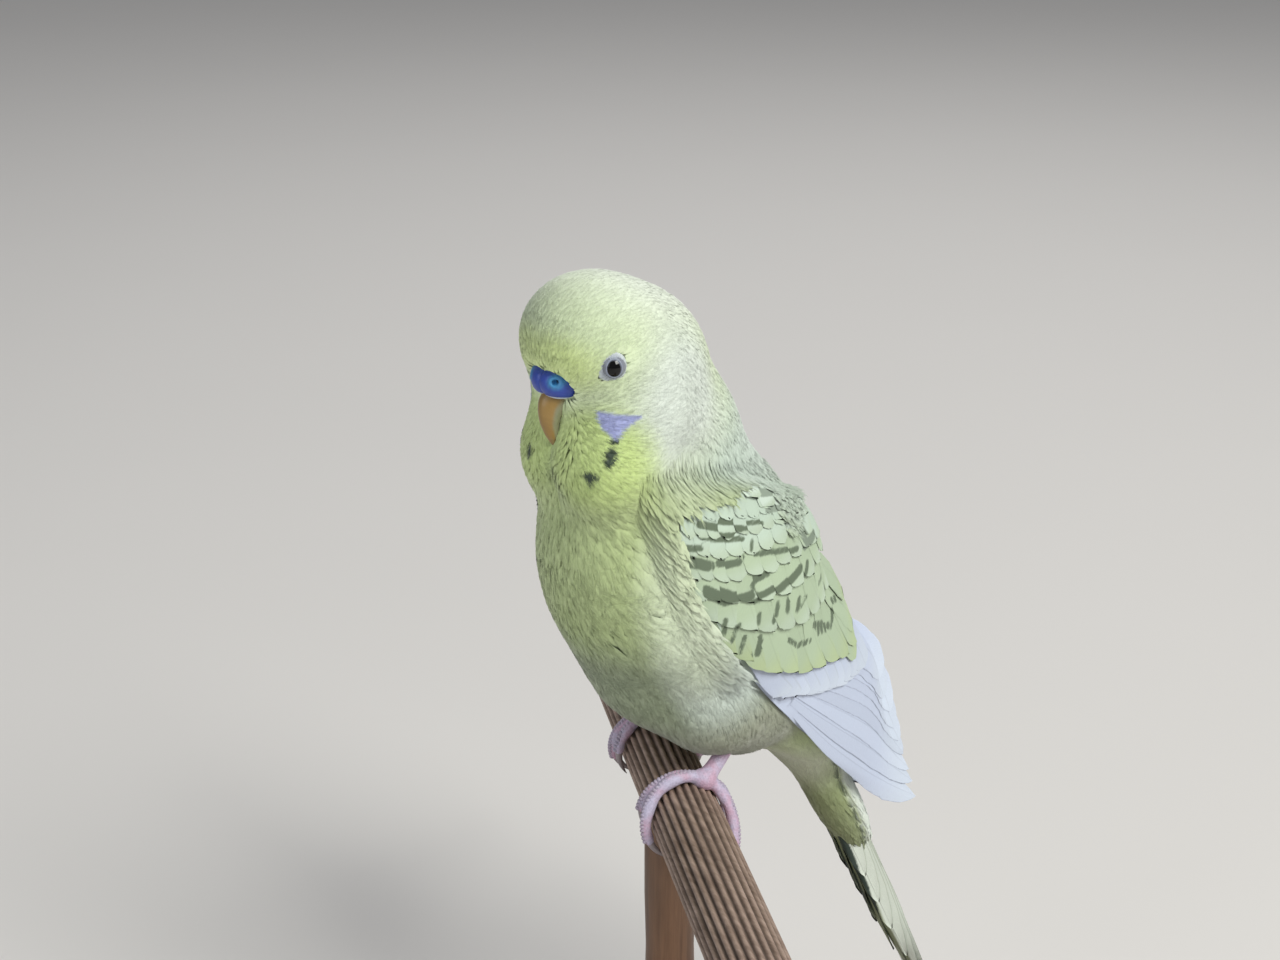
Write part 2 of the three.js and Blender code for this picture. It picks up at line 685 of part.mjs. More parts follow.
/** Points of the left or right leg from the foot (0) to inside the belly (1). */
function tarsusPoint(foot, s) {
  const low = byPerch(foot * FOOT_SPREAD, 0, TOE_ROUND + 0.5);
  const high = at(HOCK.side * foot, HOCK.forward - HOCK.follow * low.y, HOCK.height);
  const bow = new THREE.Vector3(0, 0, -1.2 * Math.sin(Math.PI * s));
  return low.clone().lerp(high, s).add(bow);
}
const ANKLE_SHARE = 0.3; // where the foot ends and the leg begins

/** A stretch of the tarsus. */
function tarsus(foot, from, to) {
  const path = Array.from({ length: 5 }, (_, i) => tarsusPoint(foot, lerp(from, to, i / 4)));
  return solidOf(tube(path, path.map(() => TARSUS_RADIUS), 10));
}

/** The foot: palm, toes and the end of the tarsus in one piece. */
function footSolid(foot) {
  const palm = byPerch(foot * FOOT_SPREAD, PALM_TURN, TOE_ROUND + 0.35);
  const pad = solidOf(ellipsoid(palm, 2.6, 2.4, 1.5, 0, [12, 7]));
  const toes = TOES.map((toe) => toeSolid(foot, toe));
  const perchRoom = perchForm(GAP * 0.8, true);
  return fuse([pad, ...toes, tarsus(foot, 0, ANKLE_SHARE)]).subtract(perchRoom);
}

/** The leg, from just past the foot into the belly, and clear of the body. */
function legSolid(foot) {
  const length = tarsusPoint(foot, 0).distanceTo(tarsusPoint(foot, 1));
  return tarsus(foot, ANKLE_SHARE + GAP / length, 0.92).subtract(bodyRoom);
}

// The dowel and the stand

/** The dowel lying at a height, fluted, or a plain round one where it only cuts. */
function perchForm(grow, plain = false, height = 0) {
  const outline = [];
  const steps = FLUTES * 4;
  for (let i = 0; i < steps; i++) {
    const angle = (i / steps) * 2 * Math.PI;
    const depth = plain ? 0 : [0, 0, 1, 1][i % 4] * FLUTE_DEPTH;
    const radius = PERCH_RADIUS + grow - depth;
    outline.push(new THREE.Vector2(Math.cos(angle), Math.sin(angle)).multiplyScalar(radius));
  }
  const geometry = new THREE.ExtrudeGeometry(new THREE.Shape(outline), {
    depth: 2 * (PERCH_HALF_LENGTH + grow),
    bevelEnabled: false,
  });
  geometry.translate(0, 0, -PERCH_HALF_LENGTH - grow);
  geometry.rotateY(Math.PI / 2);
  geometry.rotateZ(rad(PERCH_YAW));
  geometry.translate(0, 0, height - PERCH_RADIUS);
  return solidOf(geometry);
}

/** The round wooden base, its upper edge softened. */
function baseGeometry() {
  const corner = (angle) =>
    new THREE.Vector2(Math.cos(rad(angle)), Math.sin(rad(angle)))
      .multiplyScalar(BASE_EDGE)
      .add(new THREE.Vector2(BASE_RADIUS - BASE_EDGE, BASE_HEIGHT - BASE_EDGE));
  const profile = [
    new THREE.Vector2(0, 0),
    new THREE.Vector2(BASE_RADIUS, 0),
    ...[0, 30, 60, 90].map(corner),
    new THREE.Vector2(0, BASE_HEIGHT),
  ];
  return geometryOf(solidOf(new THREE.LatheGeometry(profile, 48).rotateX(Math.PI / 2)));
}

/** A plain upright cylinder between two heights. */
function upright(radius, from, to, sides = 24) {
  const geometry = new THREE.CylinderGeometry(radius, radius, to - from, sides).rotateX(Math.PI / 2);
  return solidOf(geometry.translate(0, 0, (from + to) / 2));
}

/** The collar at the post's foot, with a hole for the post. */
function collarGeometry() {
  const from = BASE_HEIGHT + GAP;
  const collar = upright(COLLAR_RADIUS, from, from + COLLAR_HEIGHT);
  return geometryOf(collar.subtract(upright(POST_RADIUS + GAP, 0, from + COLLAR_HEIGHT + 1)));
}

/** The post, its top hollowed to the dowel's round. */
function postGeometry() {
  const shaft = upright(POST_RADIUS, BASE_HEIGHT + GAP, PERCH_TOP - PERCH_RADIUS);
  return geometryOf(shaft.subtract(perchForm(GAP, true, PERCH_TOP)));
}

// The model

const bird = new THREE.Group();
bird.position.z = PERCH_TOP;
const stand = new THREE.Group();
const model = new THREE.Group();
model.add(bird, stand);

/** Adds a named mesh of its own colour to a group. */
function piece(group, name, geometry, colour, roughness) {
  const material = new THREE.MeshStandardMaterial({ color: colour, roughness, metalness: 0 });
  const mesh = new THREE.Mesh(geometry, material);
  mesh.name = name;
  group.add(mesh);
}

piece(bird, "head", geometryOf(headSolid()), PALE_YELLOW, 0.85);
piece(bird, "neck", geometryOf(neckForm), PALE_GREEN, 0.85);
piece(bird, "torso", geometryOf(torsoForm), PALE_GREEN, 0.85);
piece(bird, "tail", geometryOf(tailSolid()), TAIL_OLIVE, 0.8);
piece(bird, "cere", geometryOf(finishedCere()), CERE_BLUE, 0.45);
piece(bird, "beak_upper", geometryOf(billSolid(UPPER_BILL, 0)), BEAK_ORANGE, 0.35);
const lowerBill = billSolid(LOWER_BILL, 0).subtract(billSolid(UPPER_BILL, GAP));
piece(bird, "beak_lower", geometryOf(lowerBill), BEAK_ORANGE, 0.4);

const leftWing = wingGeometry();
for (const [name, sign] of [["left", 1], ["right", -1]]) {
  piece(bird, `eye_${name}`, geometryOf(eyeBall(sign, EYE.radius)), EYE_BLACK, 0.05);
  piece(bird, `wing_${name}`, sign > 0 ? leftWing : mirrored(leftWing), WING_GREEN, 0.8);
  piece(bird, `leg_${name}`, geometryOf(legSolid(sign)), FOOT_PINK, 0.6);
  piece(bird, `foot_${name}`, geometryOf(footSolid(sign)), FOOT_PINK, 0.6);
  TOES.forEach((toe, i) => {
    piece(bird, `claw_${name}_${i + 1}`, clawGeometry(sign, toe), CLAW_GREY, 0.4);
  });
}
piece(bird, "perch", geometryOf(perchForm(0)), WOOD_BROWN, 0.75);

piece(stand, "stand_base", baseGeometry(), STAND_WOOD, 0.5);
piece(stand, "stand_collar", collarGeometry(), STAND_WOOD, 0.5);
piece(stand, "stand_post", postGeometry(), STAND_WOOD, 0.5);

export default model;
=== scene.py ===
"""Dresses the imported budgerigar: skin, feathers, face, feet, dowel and stand, with light and camera.

Shapes are worked out in the bird's own frame in millimetres: side (+ to its left), forward, and
height above the top of the dowel. Every mesh ends in metres in the frame of the CAD model.
"""

import logging
import math
from collections.abc import Callable, Sequence
from dataclasses import dataclass, field
from enum import Enum

import bpy
import numpy as np
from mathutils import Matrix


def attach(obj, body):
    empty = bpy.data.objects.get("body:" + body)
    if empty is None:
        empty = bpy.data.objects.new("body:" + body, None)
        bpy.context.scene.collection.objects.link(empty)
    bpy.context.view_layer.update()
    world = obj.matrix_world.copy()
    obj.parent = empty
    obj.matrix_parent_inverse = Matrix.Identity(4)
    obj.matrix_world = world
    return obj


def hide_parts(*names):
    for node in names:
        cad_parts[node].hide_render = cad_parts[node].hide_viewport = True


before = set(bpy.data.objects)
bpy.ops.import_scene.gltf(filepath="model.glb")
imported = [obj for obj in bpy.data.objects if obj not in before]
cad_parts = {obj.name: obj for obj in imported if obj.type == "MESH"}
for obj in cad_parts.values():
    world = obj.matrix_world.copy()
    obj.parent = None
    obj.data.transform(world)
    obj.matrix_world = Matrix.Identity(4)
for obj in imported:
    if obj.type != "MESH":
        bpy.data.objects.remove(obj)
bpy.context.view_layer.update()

Array = np.ndarray
Point = tuple[float, float, float]
Pair = tuple[float, float]
LOG = logging.getLogger("budgerigar")

MM = 0.001
PERCH_TOP = 89.0
BAKE_PATCH = 0.003
BAKE_MARGIN = 0.01
LAST_RING = 5


# Small tools


def smooth(x: Array) -> Array:
    """A soft step from 0 to 1."""
    x = np.clip(x, 0.0, 1.0)
    return x * x * (3 - 2 * x)


def unit(v: Array) -> Array:
    """Vectors scaled to length one."""
    return v / np.maximum(np.linalg.norm(v, axis=-1, keepdims=True), 1e-9)


def vec(*parts: Array | float) -> Array:
    """Numbers side by side as vectors, once they are spread to one shape."""
    return np.stack(np.broadcast_arrays(*parts), axis=-1)


def between(first: Array, second: Array, share: Array | float) -> Array:
    """Values on the way from a first one (0) to a second one (1)."""
    return first * (1 - share) + second * share


def cos_sin(degrees: float) -> Pair:
    """The cosine and the sine of an angle."""
    return math.cos(math.radians(degrees)), math.sin(math.radians(degrees))


def side_name(sign: int) -> str:
    """The word for a side of the bird."""
    return "left" if sign > 0 else "right"


def placed(points: Array) -> Array:
    """Points of the bird's frame in the CAD model's frame, in metres."""
    return vec(points[..., 0], -points[..., 1], points[..., 2] + PERCH_TOP) * MM


def paint(code: str) -> Array:
    """A colour of six hex digits as linear red, green and blue."""
    parts = np.array([int(code[i : i + 2], 16) for i in (0, 2, 4)]) / 255
    return np.where(parts <= 0.04045, parts / 12.92, ((parts + 0.055) / 1.055) ** 2.4)


def bend(controls: Sequence[Sequence[float]], share: Array) -> Array:
    """Points of the curve of three controls at shares from 0 to 1."""
    a, b, c = (np.asarray(one, float) for one in controls)
    w = np.asarray(share, float)[..., None]
    return (1 - w) ** 2 * a + 2 * w * (1 - w) * b + w**2 * c


def flowing(points: Sequence[Sequence[float]], count: int) -> Array:
    """Rows of numbers eased into a longer, smooth run of rows.

    Args:
        points: the rows that the run passes through.
        count: how many rows it has in the end.

    Returns:
        The rows as an array of count by the length of a row.
    """
    p = np.asarray(points, float)
    p = np.vstack([2 * p[0] - p[1], p, 2 * p[-1] - p[-2]])
    place = np.linspace(0, len(points) - 1, count)
    i = np.minimum(place.astype(int), len(points) - 2)
    f = (place - i)[:, None]
    a, b, c, d = p[i], p[i + 1], p[i + 2], p[i + 3]
    return 0.5 * (2 * b + (c - a) * f + (2 * a - 5 * b + 4 * c - d) * f**2 + (3 * b - a - 3 * c + d) * f**3)


def grid_faces(rows: int, columns: int, closed: bool) -> Array:
    """Quads between rows of points.

    Args:
        rows: how many rows there are.
        columns: how many points a row has.
        closed: whether the last column is joined to the first one.

    Returns:
        The quads, each as the places of its points.
    """
    r = np.arange(rows - 1)[:, None]
    c = np.arange(columns if closed else columns - 1)[None, :]
    n = (c + 1) % columns
    return vec(r * columns + c, r * columns + n, (r + 1) * columns + n, (r + 1) * columns + c).reshape(-1, 4)


def turning(points: Array, triangles: Array) -> float:
    """Six times the volume inside triangles, below zero where they face inwards."""
    a, b, c = (points[triangles[:, i]] for i in range(3))
    return float(np.einsum("ij,ij->", a, np.cross(b, c)))


def outwards(points: Array, faces: Sequence[Array]) -> list[Array]:
    """The faces of a closed surface, all turned over where they look inwards."""
    cut = [group[:, [0, i, i + 1]] for group in faces for i in range(1, group.shape[1] - 1)]
    inwards = turning(points - points.mean(0), np.vstack(cut)) < 0
    return [group[:, ::-1] if inwards else group for group in faces]


def outward_halves(points: Array, quads: Array) -> Array:
    """Cuts quads in two along the diagonal that lies further out, so a twisted sheet keeps its thickness.

    Args:
        points: the surface's points.
        quads: its faces, looking outwards.

    Returns:
        The triangles.
    """
    a, b, c, d = np.moveaxis(points[quads], 1, 0)
    first = np.einsum("ij,ij->i", a + c - b - d, np.cross(c - a, d - b))[:, None] > 0
    one = np.where(first, quads[:, [0, 1, 2]], quads[:, [1, 2, 3]])
    two = np.where(first, quads[:, [0, 2, 3]], quads[:, [1, 3, 0]])
    return np.vstack([one, two])


def loft(rings: Array) -> tuple[Array, list[Array]]:
    """A closed surface through rings of points.

    Args:
        rings: an array of rings by points by three.

    Returns:
        Its points, and its faces as quads and triangles that look outwards.
    """
    count, around = rings.shape[:2]
    points = np.vstack([rings.reshape(-1, 3), rings[0].mean(0), rings[-1].mean(0)])
    k = np.arange(around)
    n = (k + 1) % around
    last = (count - 1) * around
    fans = np.vstack([vec(count * around, n, k), vec(count * around + 1, last + k, last + n)])
    return points, outwards(points, [grid_faces(count, around, True), fans])


def hoop(rings: Array) -> tuple[Array, list[Array]]:
    """The points and outward faces of a surface through rings, the last of them joined to the first."""
    points = rings.reshape(-1, 3)
    return points, outwards(points, [grid_faces(len(rings) + 1, rings.shape[1], True) % len(points)])


def tube(path: Array, radii: Array, sides: int = 16) -> tuple[Array, list[Array]]:
    """A closed round tube along a path.

    Args:
        path: the points of its middle line.
        radii: its radius at each of them.
        sides: how many points it has round.

    Returns:
        Its points and its faces.
    """
    along = unit(np.gradient(path, axis=0))
    across = np.array([0.31, 0.17, 0.93])
    rings = []
    angle = np.linspace(0, 2 * math.pi, sides, endpoint=False)[:, None]
    for p, t, r in zip(path, along, radii):
        across = unit(across - t * float(across @ t))
        other = np.cross(t, across)
        rings.append(p + r * (np.cos(angle) * across + np.sin(angle) * other))
    return loft(np.array(rings))


def facing(grid: Array, toward: Array) -> Array:
    """The way that a grid of points faces, on the side of a given direction."""
    way = unit(np.cross(np.gradient(grid, axis=0), np.gradient(grid, axis=1)))
    return way * np.where(np.sum(way * toward, axis=-1, keepdims=True) < 0, -1.0, 1.0)


def reached(
    outside: Callable[[Array], Array], centre: Array, way: Array, far: float, rounds: int, level: float = 0.0
) -> Array:
    """Finds where lines from inside a form come out of it, by halving.

    Args:
        outside: how far points lie outside the form.
        centre: where each line starts.
        way: the line's direction.
        far: a distance that is past the form on every line.
        rounds: how often the distance is halved.
        level: how far outside the form the points are wanted.

    Returns:
        The points.
    """
    near, far = np.zeros(way.shape[:-1]), np.full(way.shape[:-1], far)
    for _ in range(rounds):
        middle = (near + far) / 2
        inside = outside(centre + way * middle[..., None]) < level
        near, far = np.where(inside, middle, near), np.where(inside, far, middle)
    return centre + way * near[..., None]


def thinned(points: Array, gaps: Array, rng: np.random.Generator) -> Array:
    """Chooses points in random order, none of them closer to a chosen one than its own gap.

    Args:
        points: the points to choose from.
        gaps: the gap that each one needs.
        rng: the source of the order.

    Returns:
        The places of the chosen points.
    """
    size = float(gaps.max())
    keys = np.floor(points / size).astype(int).tolist()
    spots, squares = points.tolist(), (gaps**2).tolist()
    around = [(a, b, c) for a in (-1, 0, 1) for b in (-1, 0, 1) for c in (-1, 0, 1)]
    cells: dict[tuple[int, int, int], list[list[float]]] = {}
    chosen = []
    for i in rng.permutation(len(points)).tolist():
        (a, b, c), (x, y, z) = keys[i], spots[i]
        near = (p for da, db, dc in around for p in cells.get((a + da, b + db, c + dc), ()))
        if all((p[0] - x) ** 2 + (p[1] - y) ** 2 + (p[2] - z) ** 2 >= squares[i] for p in near):
            cells.setdefault((a, b, c), []).append(spots[i])
            chosen.append(i)
    return np.array(chosen)


class Mould:
    """Gathers the points, faces and values of one piece and casts it as a mesh object."""

    def __init__(self, name: str) -> None:
        """Starts an empty piece of that name."""
        self.name = name
        self.points: list[Array] = []
        self.faces: dict[int, list[Array]] = {3: [], 4: []}
        self.values: dict[str, list[Array]] = {}
        self.count = 0

    def add(self, points: Array, faces: Sequence[Array], **values: Array) -> None:
        """Adds a closed surface.

        Args:
            points: its points in the bird's frame.
            faces: arrays of triangles and of quads that look outwards.
            values: what each point carries; one number, a pair for a UV map or three for a colour. The
                value called facing is the way that the surface is shaded as facing.
        """
        self.points.append(points)
        for group in faces:
            self.faces[group.shape[1]].append(group + self.count)
        for key, value in values.items():
            self.values.setdefault(key, []).append(np.asarray(value, float))
        self.count += len(points)

    def triangles(self) -> int:
        """How many triangles the piece has so far."""
        return sum(len(g) * (size - 2) for size, groups in self.faces.items() for g in groups)

    def mesh(self) -> bpy.types.Mesh:
        """The piece as a mesh in the CAD model's frame, with its values as attributes and UV maps."""
        points = placed(np.vstack(self.points))
        groups = [np.vstack(g)[:, ::-1] for g in self.faces.values() if g]
        corners = np.concatenate([g.ravel() for g in groups])
        sizes = np.concatenate([np.full(len(g), g.shape[1]) for g in groups])
        starts = np.concatenate([[0], np.cumsum(sizes)[:-1]])
        mesh = bpy.data.meshes.new(self.name)
        mesh.vertices.add(len(points))
        mesh.vertices.foreach_set("co", points.ravel())
        mesh.loops.add(len(corners))
        mesh.loops.foreach_set("vertex_index", corners)
        mesh.polygons.add(len(sizes))
        mesh.polygons.foreach_set("loop_start", starts)
        mesh.polygons.foreach_set("vertices", corners)
        mesh.update(calc_edges=True)
        mesh.polygons.foreach_set("use_smooth", np.ones(len(sizes), bool))
        for key, parts in self.values.items():
            self._carry(mesh, key, np.concatenate(parts), corners)
        return mesh

    @staticmethod
    def _carry(mesh: bpy.types.Mesh, key: str, value: Array, corners: Array) -> None:
        """Puts the values of all points on the mesh, as its facing, an attribute or a UV map.

        Args:
            mesh: the mesh.
            key: the values' name.
            value: a number, a pair or a colour for each point.
            corners: the point at each corner of the faces.
        """
        if key == "facing":
            mesh.normals_split_custom_set_from_vertices(unit(value * np.array([1, -1, 1])))
        elif value.ndim == 1:
            mesh.attributes.new(key, "FLOAT", "POINT").data.foreach_set("value", value)
        elif value.shape[1] == 2:
            mesh.uv_layers.new(name=key).uv.foreach_set("vector", value[corners].ravel())
        else:
            colour = np.concatenate([value, np.ones((len(value), 1))], axis=1)
            mesh.attributes.new(key, "FLOAT_COLOR", "POINT").data.foreach_set("color", colour.ravel())

    def cast(self, finish: "Finish", replaces: Sequence[str] = ()) -> bpy.types.Object:
        """Makes the object, tells the frame what it rides on and hides the CAD nodes that it stands for.

        Args:
            finish: what its surface is made of.
            replaces: the CAD nodes that it takes the place of.

        Returns:
            The finished object.
        """
        return settle(in_scene(self.name, self.mesh()), finish, replaces)


def in_scene(name: str, data: bpy.types.ID) -> bpy.types.Object:
    """A new object in the scene that shows a mesh, a light or a camera."""
    made = bpy.data.objects.new(name, data)
    bpy.context.scene.collection.objects.link(made)
    return made


def made_plain(holder: bpy.types.Object, name: str) -> bpy.types.Object:
    """A plain mesh object of that name in place of one with modifiers."""
    mesh = bpy.data.meshes.new_from_object(holder.evaluated_get(bpy.context.evaluated_depsgraph_get()))
    bpy.data.objects.remove(holder)
    mesh.name = name
    return in_scene(name, mesh)


def settle(
    piece: bpy.types.Object, finish: "Finish", replaces: Sequence[str] = ()
) -> bpy.types.Object:
    """Gives a finished piece its material, hangs it on the root empty and hides the CAD nodes that it
    replaces.

    Args:
        piece: the mesh object.
        finish: what its surface is made of.
        replaces: the CAD nodes that it takes the place of.

    Returns:
        The same object.
    """
    piece.data.materials.clear()
    piece.data.materials.append(finish.material())
    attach(piece, "root")
    if replaces:
        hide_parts(*replaces)
    LOG.info("%s: %d faces", piece.name, len(piece.data.polygons))
    return piece


# Shader expressions and finishes


class Socket:
    """A node's output that may be added, multiplied and so on, each time as a Math node."""

    def __init__(self, graph: "Graph", link: bpy.types.NodeSocket) -> None:
        """Wraps an output of a node in that graph."""
        self.graph = graph
        self.link = link

    def _math(self, operation: str, first: object, second: object = 0.0) -> "Socket":
        """A Math node on two values."""
        return self.graph.node("ShaderNodeMath", {"operation": operation}, {0: first, 1: second})

    def __add__(self, other: object) -> "Socket":
        """The sum."""
        return self._math("ADD", self, other)

    __radd__ = __add__

    def __mul__(self, other: object) -> "Socket":
        """The product."""
        return self._math("MULTIPLY", self, other)

    __rmul__ = __mul__

    def __sub__(self, other: object) -> "Socket":
        """The difference."""
        return self._math("SUBTRACT", self, other)

    def __rsub__(self, other: object) -> "Socket":
        """The difference from a number."""
        return self._math("SUBTRACT", other, self)

    def __pow__(self, other: object) -> "Socket":
        """The power."""
        return self._math("POWER", self, other)

    def size(self) -> "Socket":
        """The value without its sign."""
        return self._math("ABSOLUTE", self)

    def cosine(self) -> "Socket":
        """The cosine of an angle in radians."""
        return self._math("COSINE", self)

    def step(self, low: float, high: float) -> "Socket":
        """A soft step from 0 at low to 1 at high."""
        inputs = {"Value": self, "From Min": low, "From Max": high}
        return self.graph.node("ShaderNodeMapRange", {"interpolation_type": "SMOOTHSTEP"}, inputs)


class Graph:
    """A node tree under construction."""

    def __init__(self, tree: bpy.types.NodeTree) -> None:
        """Works on that tree."""
        self.tree = tree

    def node(self, kind: str, settings: dict, inputs: dict, output: object = 0) -> Socket:
        """Adds a node.

        Args:
            kind: the node's type name.
            settings: its properties, and the stops of a ramp under the key stops.
            inputs: values or sockets by input name or number.
            output: the output that is wanted.

        Returns:
            That output.
        """
        made = self.tree.nodes.new(kind)
        for key, value in settings.items():
            if key == "stops":
                self._stops(made.color_ramp, value)
            else:
                setattr(made, key, value)
        for key, value in inputs.items():
            self.put(made.inputs[key], value)
        return Socket(self, made.outputs[output])

    @staticmethod
    def _stops(ramp: bpy.types.ColorRamp, stops: Sequence[tuple[float, str]]) -> None:
        """Sets the stops of a colour ramp from pairs of place and hex colour."""
        while len(ramp.elements) < len(stops):
            ramp.elements.new(1.0)
        for element, (place, code) in zip(ramp.elements, stops):
            element.position = place
            element.color = (*paint(code), 1.0)

    def put(self, target: bpy.types.NodeSocket, value: object) -> None:
        """Links a socket to a target, or sets the target to a value or a colour of six hex digits."""
        if isinstance(value, Socket):
            self.tree.links.new(value.link, target)
        else:
            target.default_value = (*paint(value), 1.0) if target.type == "RGBA" else value


class Shader(Graph):
    """A material under construction."""

    def __init__(self, name: str) -> None:
        """Starts a node material of that name with its principled shader."""
        self.made = bpy.data.materials.new(name)
        self.made.use_nodes = True
        super().__init__(self.made.node_tree)
        self.principled = next(n for n in self.tree.nodes if n.type == "BSDF_PRINCIPLED")

    def place(self, scale: Point = (1.0, 1.0, 1.0), turn: Point = (0.0, 0.0, 0.0)) -> Socket:
        """Object coordinates, turned by degrees and then scaled."""
        coords = self.node("ShaderNodeTexCoord", {}, {}, "Object")
        inputs = {"Vector": coords, "Rotation": [math.radians(a) for a in turn], "Scale": scale}
        return self.node("ShaderNodeMapping", {}, inputs)

    def carried(self, name: str, output: str = "Fac") -> Socket:
        """A value or colour that the piece's points carry."""
        return self.node("ShaderNodeAttribute", {"attribute_name": name}, {}, output)

    def noise(self, coords: Socket, scale: float, detail: float = 3.0, rough: float = 0.55) -> Socket:
        """Noise between 0 and 1."""
        inputs = {"Vector": coords, "Scale": scale, "Detail": detail, "Roughness": rough}
        return self.node("ShaderNodeTexNoise", {}, inputs)

    def mix(self, first: object, second: object, factor: object, blend: str = "MIX") -> Socket:
        """A colour between two, or one blended on the other."""
        inputs = {0: factor, 6: first, 7: second}
        return self.node("ShaderNodeMix", {"data_type": "RGBA", "blend_type": blend}, inputs, 2)

    def tone(self, colour: object, factor: Socket) -> Socket:
        """A colour made darker or lighter by a factor about 1."""
        grey = self.node("ShaderNodeCombineColor", {}, {"Red": factor, "Green": factor, "Blue": factor})
        return self.mix(colour, grey, 1.0, "MULTIPLY")

    def bump(self, height: Socket, distance: float, strength: float = 1.0) -> Socket:
        """The surface's normal, raised by a height between 0 and 1 of that many metres."""
        inputs = {"Height": height, "Distance": distance, "Strength": strength}
        return self.node("ShaderNodeBump", {}, inputs)

    def finish(self, **inputs: object) -> bpy.types.Material:
        """Sets the principled shader's inputs, named with underscores, and returns the material."""
        for key, value in inputs.items():
            self.put(self.principled.inputs[key.replace("_", " ")], value)
        return self.made


@dataclass(frozen=True)
class Finish:
    """What a surface is made of. Its material is made once and shared."""

    name: str

    def material(self) -> bpy.types.Material:
        """The material of this finish."""
        return bpy.data.materials.get(self.name) or self.made()

    def made(self) -> bpy.types.Material:
        """Makes the material."""
        raise NotImplementedError


@dataclass(frozen=True)
class Plumage(Finish):
    """Small body feathers: the carried colour with fine light and dark streaks."""

    streak: float = 0.22
    roughness: float = 0.72

    def made(self) -> bpy.types.Material:
        """Makes the material."""
        s = Shader(self.name)
        colour = s.carried("Plumage", "Color")
        fine = s.noise(s.place((1.0, 1.0, 0.45)), 2600.0, 2.0)
        broad = s.noise(s.place(), 160.0, 3.0)
        tone = 1.08 + (fine - 0.5) * self.streak + (broad - 0.5) * 0.12
        normal = s.bump(fine, 0.00004, 0.5)
        return s.finish(
            Base_Color=s.tone(colour, tone), Roughness=self.roughness, Normal=normal, Specular_IOR_Level=0.25,
            Sheen_Weight=0.25, Sheen_Roughness=0.5, Subsurface_Weight=0.25, Subsurface_Scale=0.0007,
            Subsurface_Radius=(1, 1, 1),
        )


@dataclass(frozen=True)
class VaneFinish(Finish):
    """A flat feather: its ground colour, a mark with a barbed edge, fine barbs and a shaft."""

    barbs: float = 90.0
    depth: float = 0.10

    def made(self) -> bpy.types.Material:
        """Makes the material."""
        s = Shader(self.name)
        uv = s.node("ShaderNodeUVMap", {"uv_map": "Vane"}, {})
        across = s.node("ShaderNodeSeparateXYZ", {}, {"Vector": uv}, "X")
        along = s.node("ShaderNodeSeparateXYZ", {}, {"Vector": uv}, "Y")
        slant = along - across.size() * 0.28
        lines = s.node("ShaderNodeCombineXYZ", {}, {"X": slant * self.barbs, "Y": across * 3, "Z": 0.0})
        barb = s.noise(lines, 1.0, 2.0)
        streak = s.noise(s.place(), 700.0, 3.0)
        edge = s.carried("mark") + (barb - 0.5) * 0.9 + (streak - 0.5) * 0.35
        colour = s.mix(s.carried("Ground", "Color"), s.carried("Mark", "Color"), edge.step(-0.16, 0.2))
        shaft = (across.size() * -1 + 1).step(0.93, 0.99) * s.carried("shaft")
        colour = s.tone(colour, 1 + (barb - 0.5) * self.depth * 2 - shaft * 0.22)
        normal = s.bump(barb + shaft * 1.5, 0.00005, 0.6)
        return s.finish(Base_Color=colour, Roughness=0.62, Normal=normal, Specular_IOR_Level=0.3)


@dataclass(frozen=True)
class Flesh(Finish):
    """Bare skin with fine folds and a second, warmer or cooler tint in patches."""

    first: str
    second: str
    folds: float = 900.0
    roughness: float = 0.5
    blotches: float = 0.0

    def made(self) -> bpy.types.Material:
        """Makes the material."""
        s = Shader(self.name)
        place = s.place()
        patches = (s.noise(place, 240.0, 3.0) - 0.5 * self.blotches).step(0.38, 0.62) + s.carried("outer")
        cells = s.node("ShaderNodeTexVoronoi", {"feature": "F1"}, {"Vector": place, "Scale": self.folds})
        fine = s.noise(place, self.folds * 1.7, 3.0)
        colour = s.tone(s.mix(self.first, self.second, patches), 0.86 + cells * 0.28 + (fine - 0.5) * 0.2)
        normal = s.bump(cells * 0.7 + fine * 0.5, 0.00012, 0.7)
        return s.finish(Base_Color=colour, Roughness=self.roughness, Normal=normal)


@dataclass(frozen=True)
class CereSkin(Finish):
    """The cere: cobalt blue, lighter and greener round the nostrils, with a white lower rim and painted shade
    in the nostril pits.
    """

    def made(self) -> bpy.types.Material:
        """Makes the material."""
        s = Shader(self.name)
        fine = s.noise(s.place(), 1500.0, 4.0)
        pale = s.carried("nostril") + (fine - 0.5) * 0.3
        rim = s.carried("rim") + (fine - 0.5) * 0.5
        pit = s.carried("pit")
        colour = s.mix("2b46a4", "3f86ba", pale.step(0.25, 0.85))
        colour = s.mix(colour, "c9d3e6", rim.step(0.45, 0.75))
        # Painted shade: the nostril pits darkened to near black.
        colour = s.mix(colour, "101a2c", pit.step(0.3, 0.8))
        colour = s.tone(colour, 0.86 + fine * 0.28)
        normal = s.bump(fine, 0.00008, 0.6)
        return s.finish(Base_Color=colour, Roughness=0.42, Normal=normal, Coat_Weight=0.15)


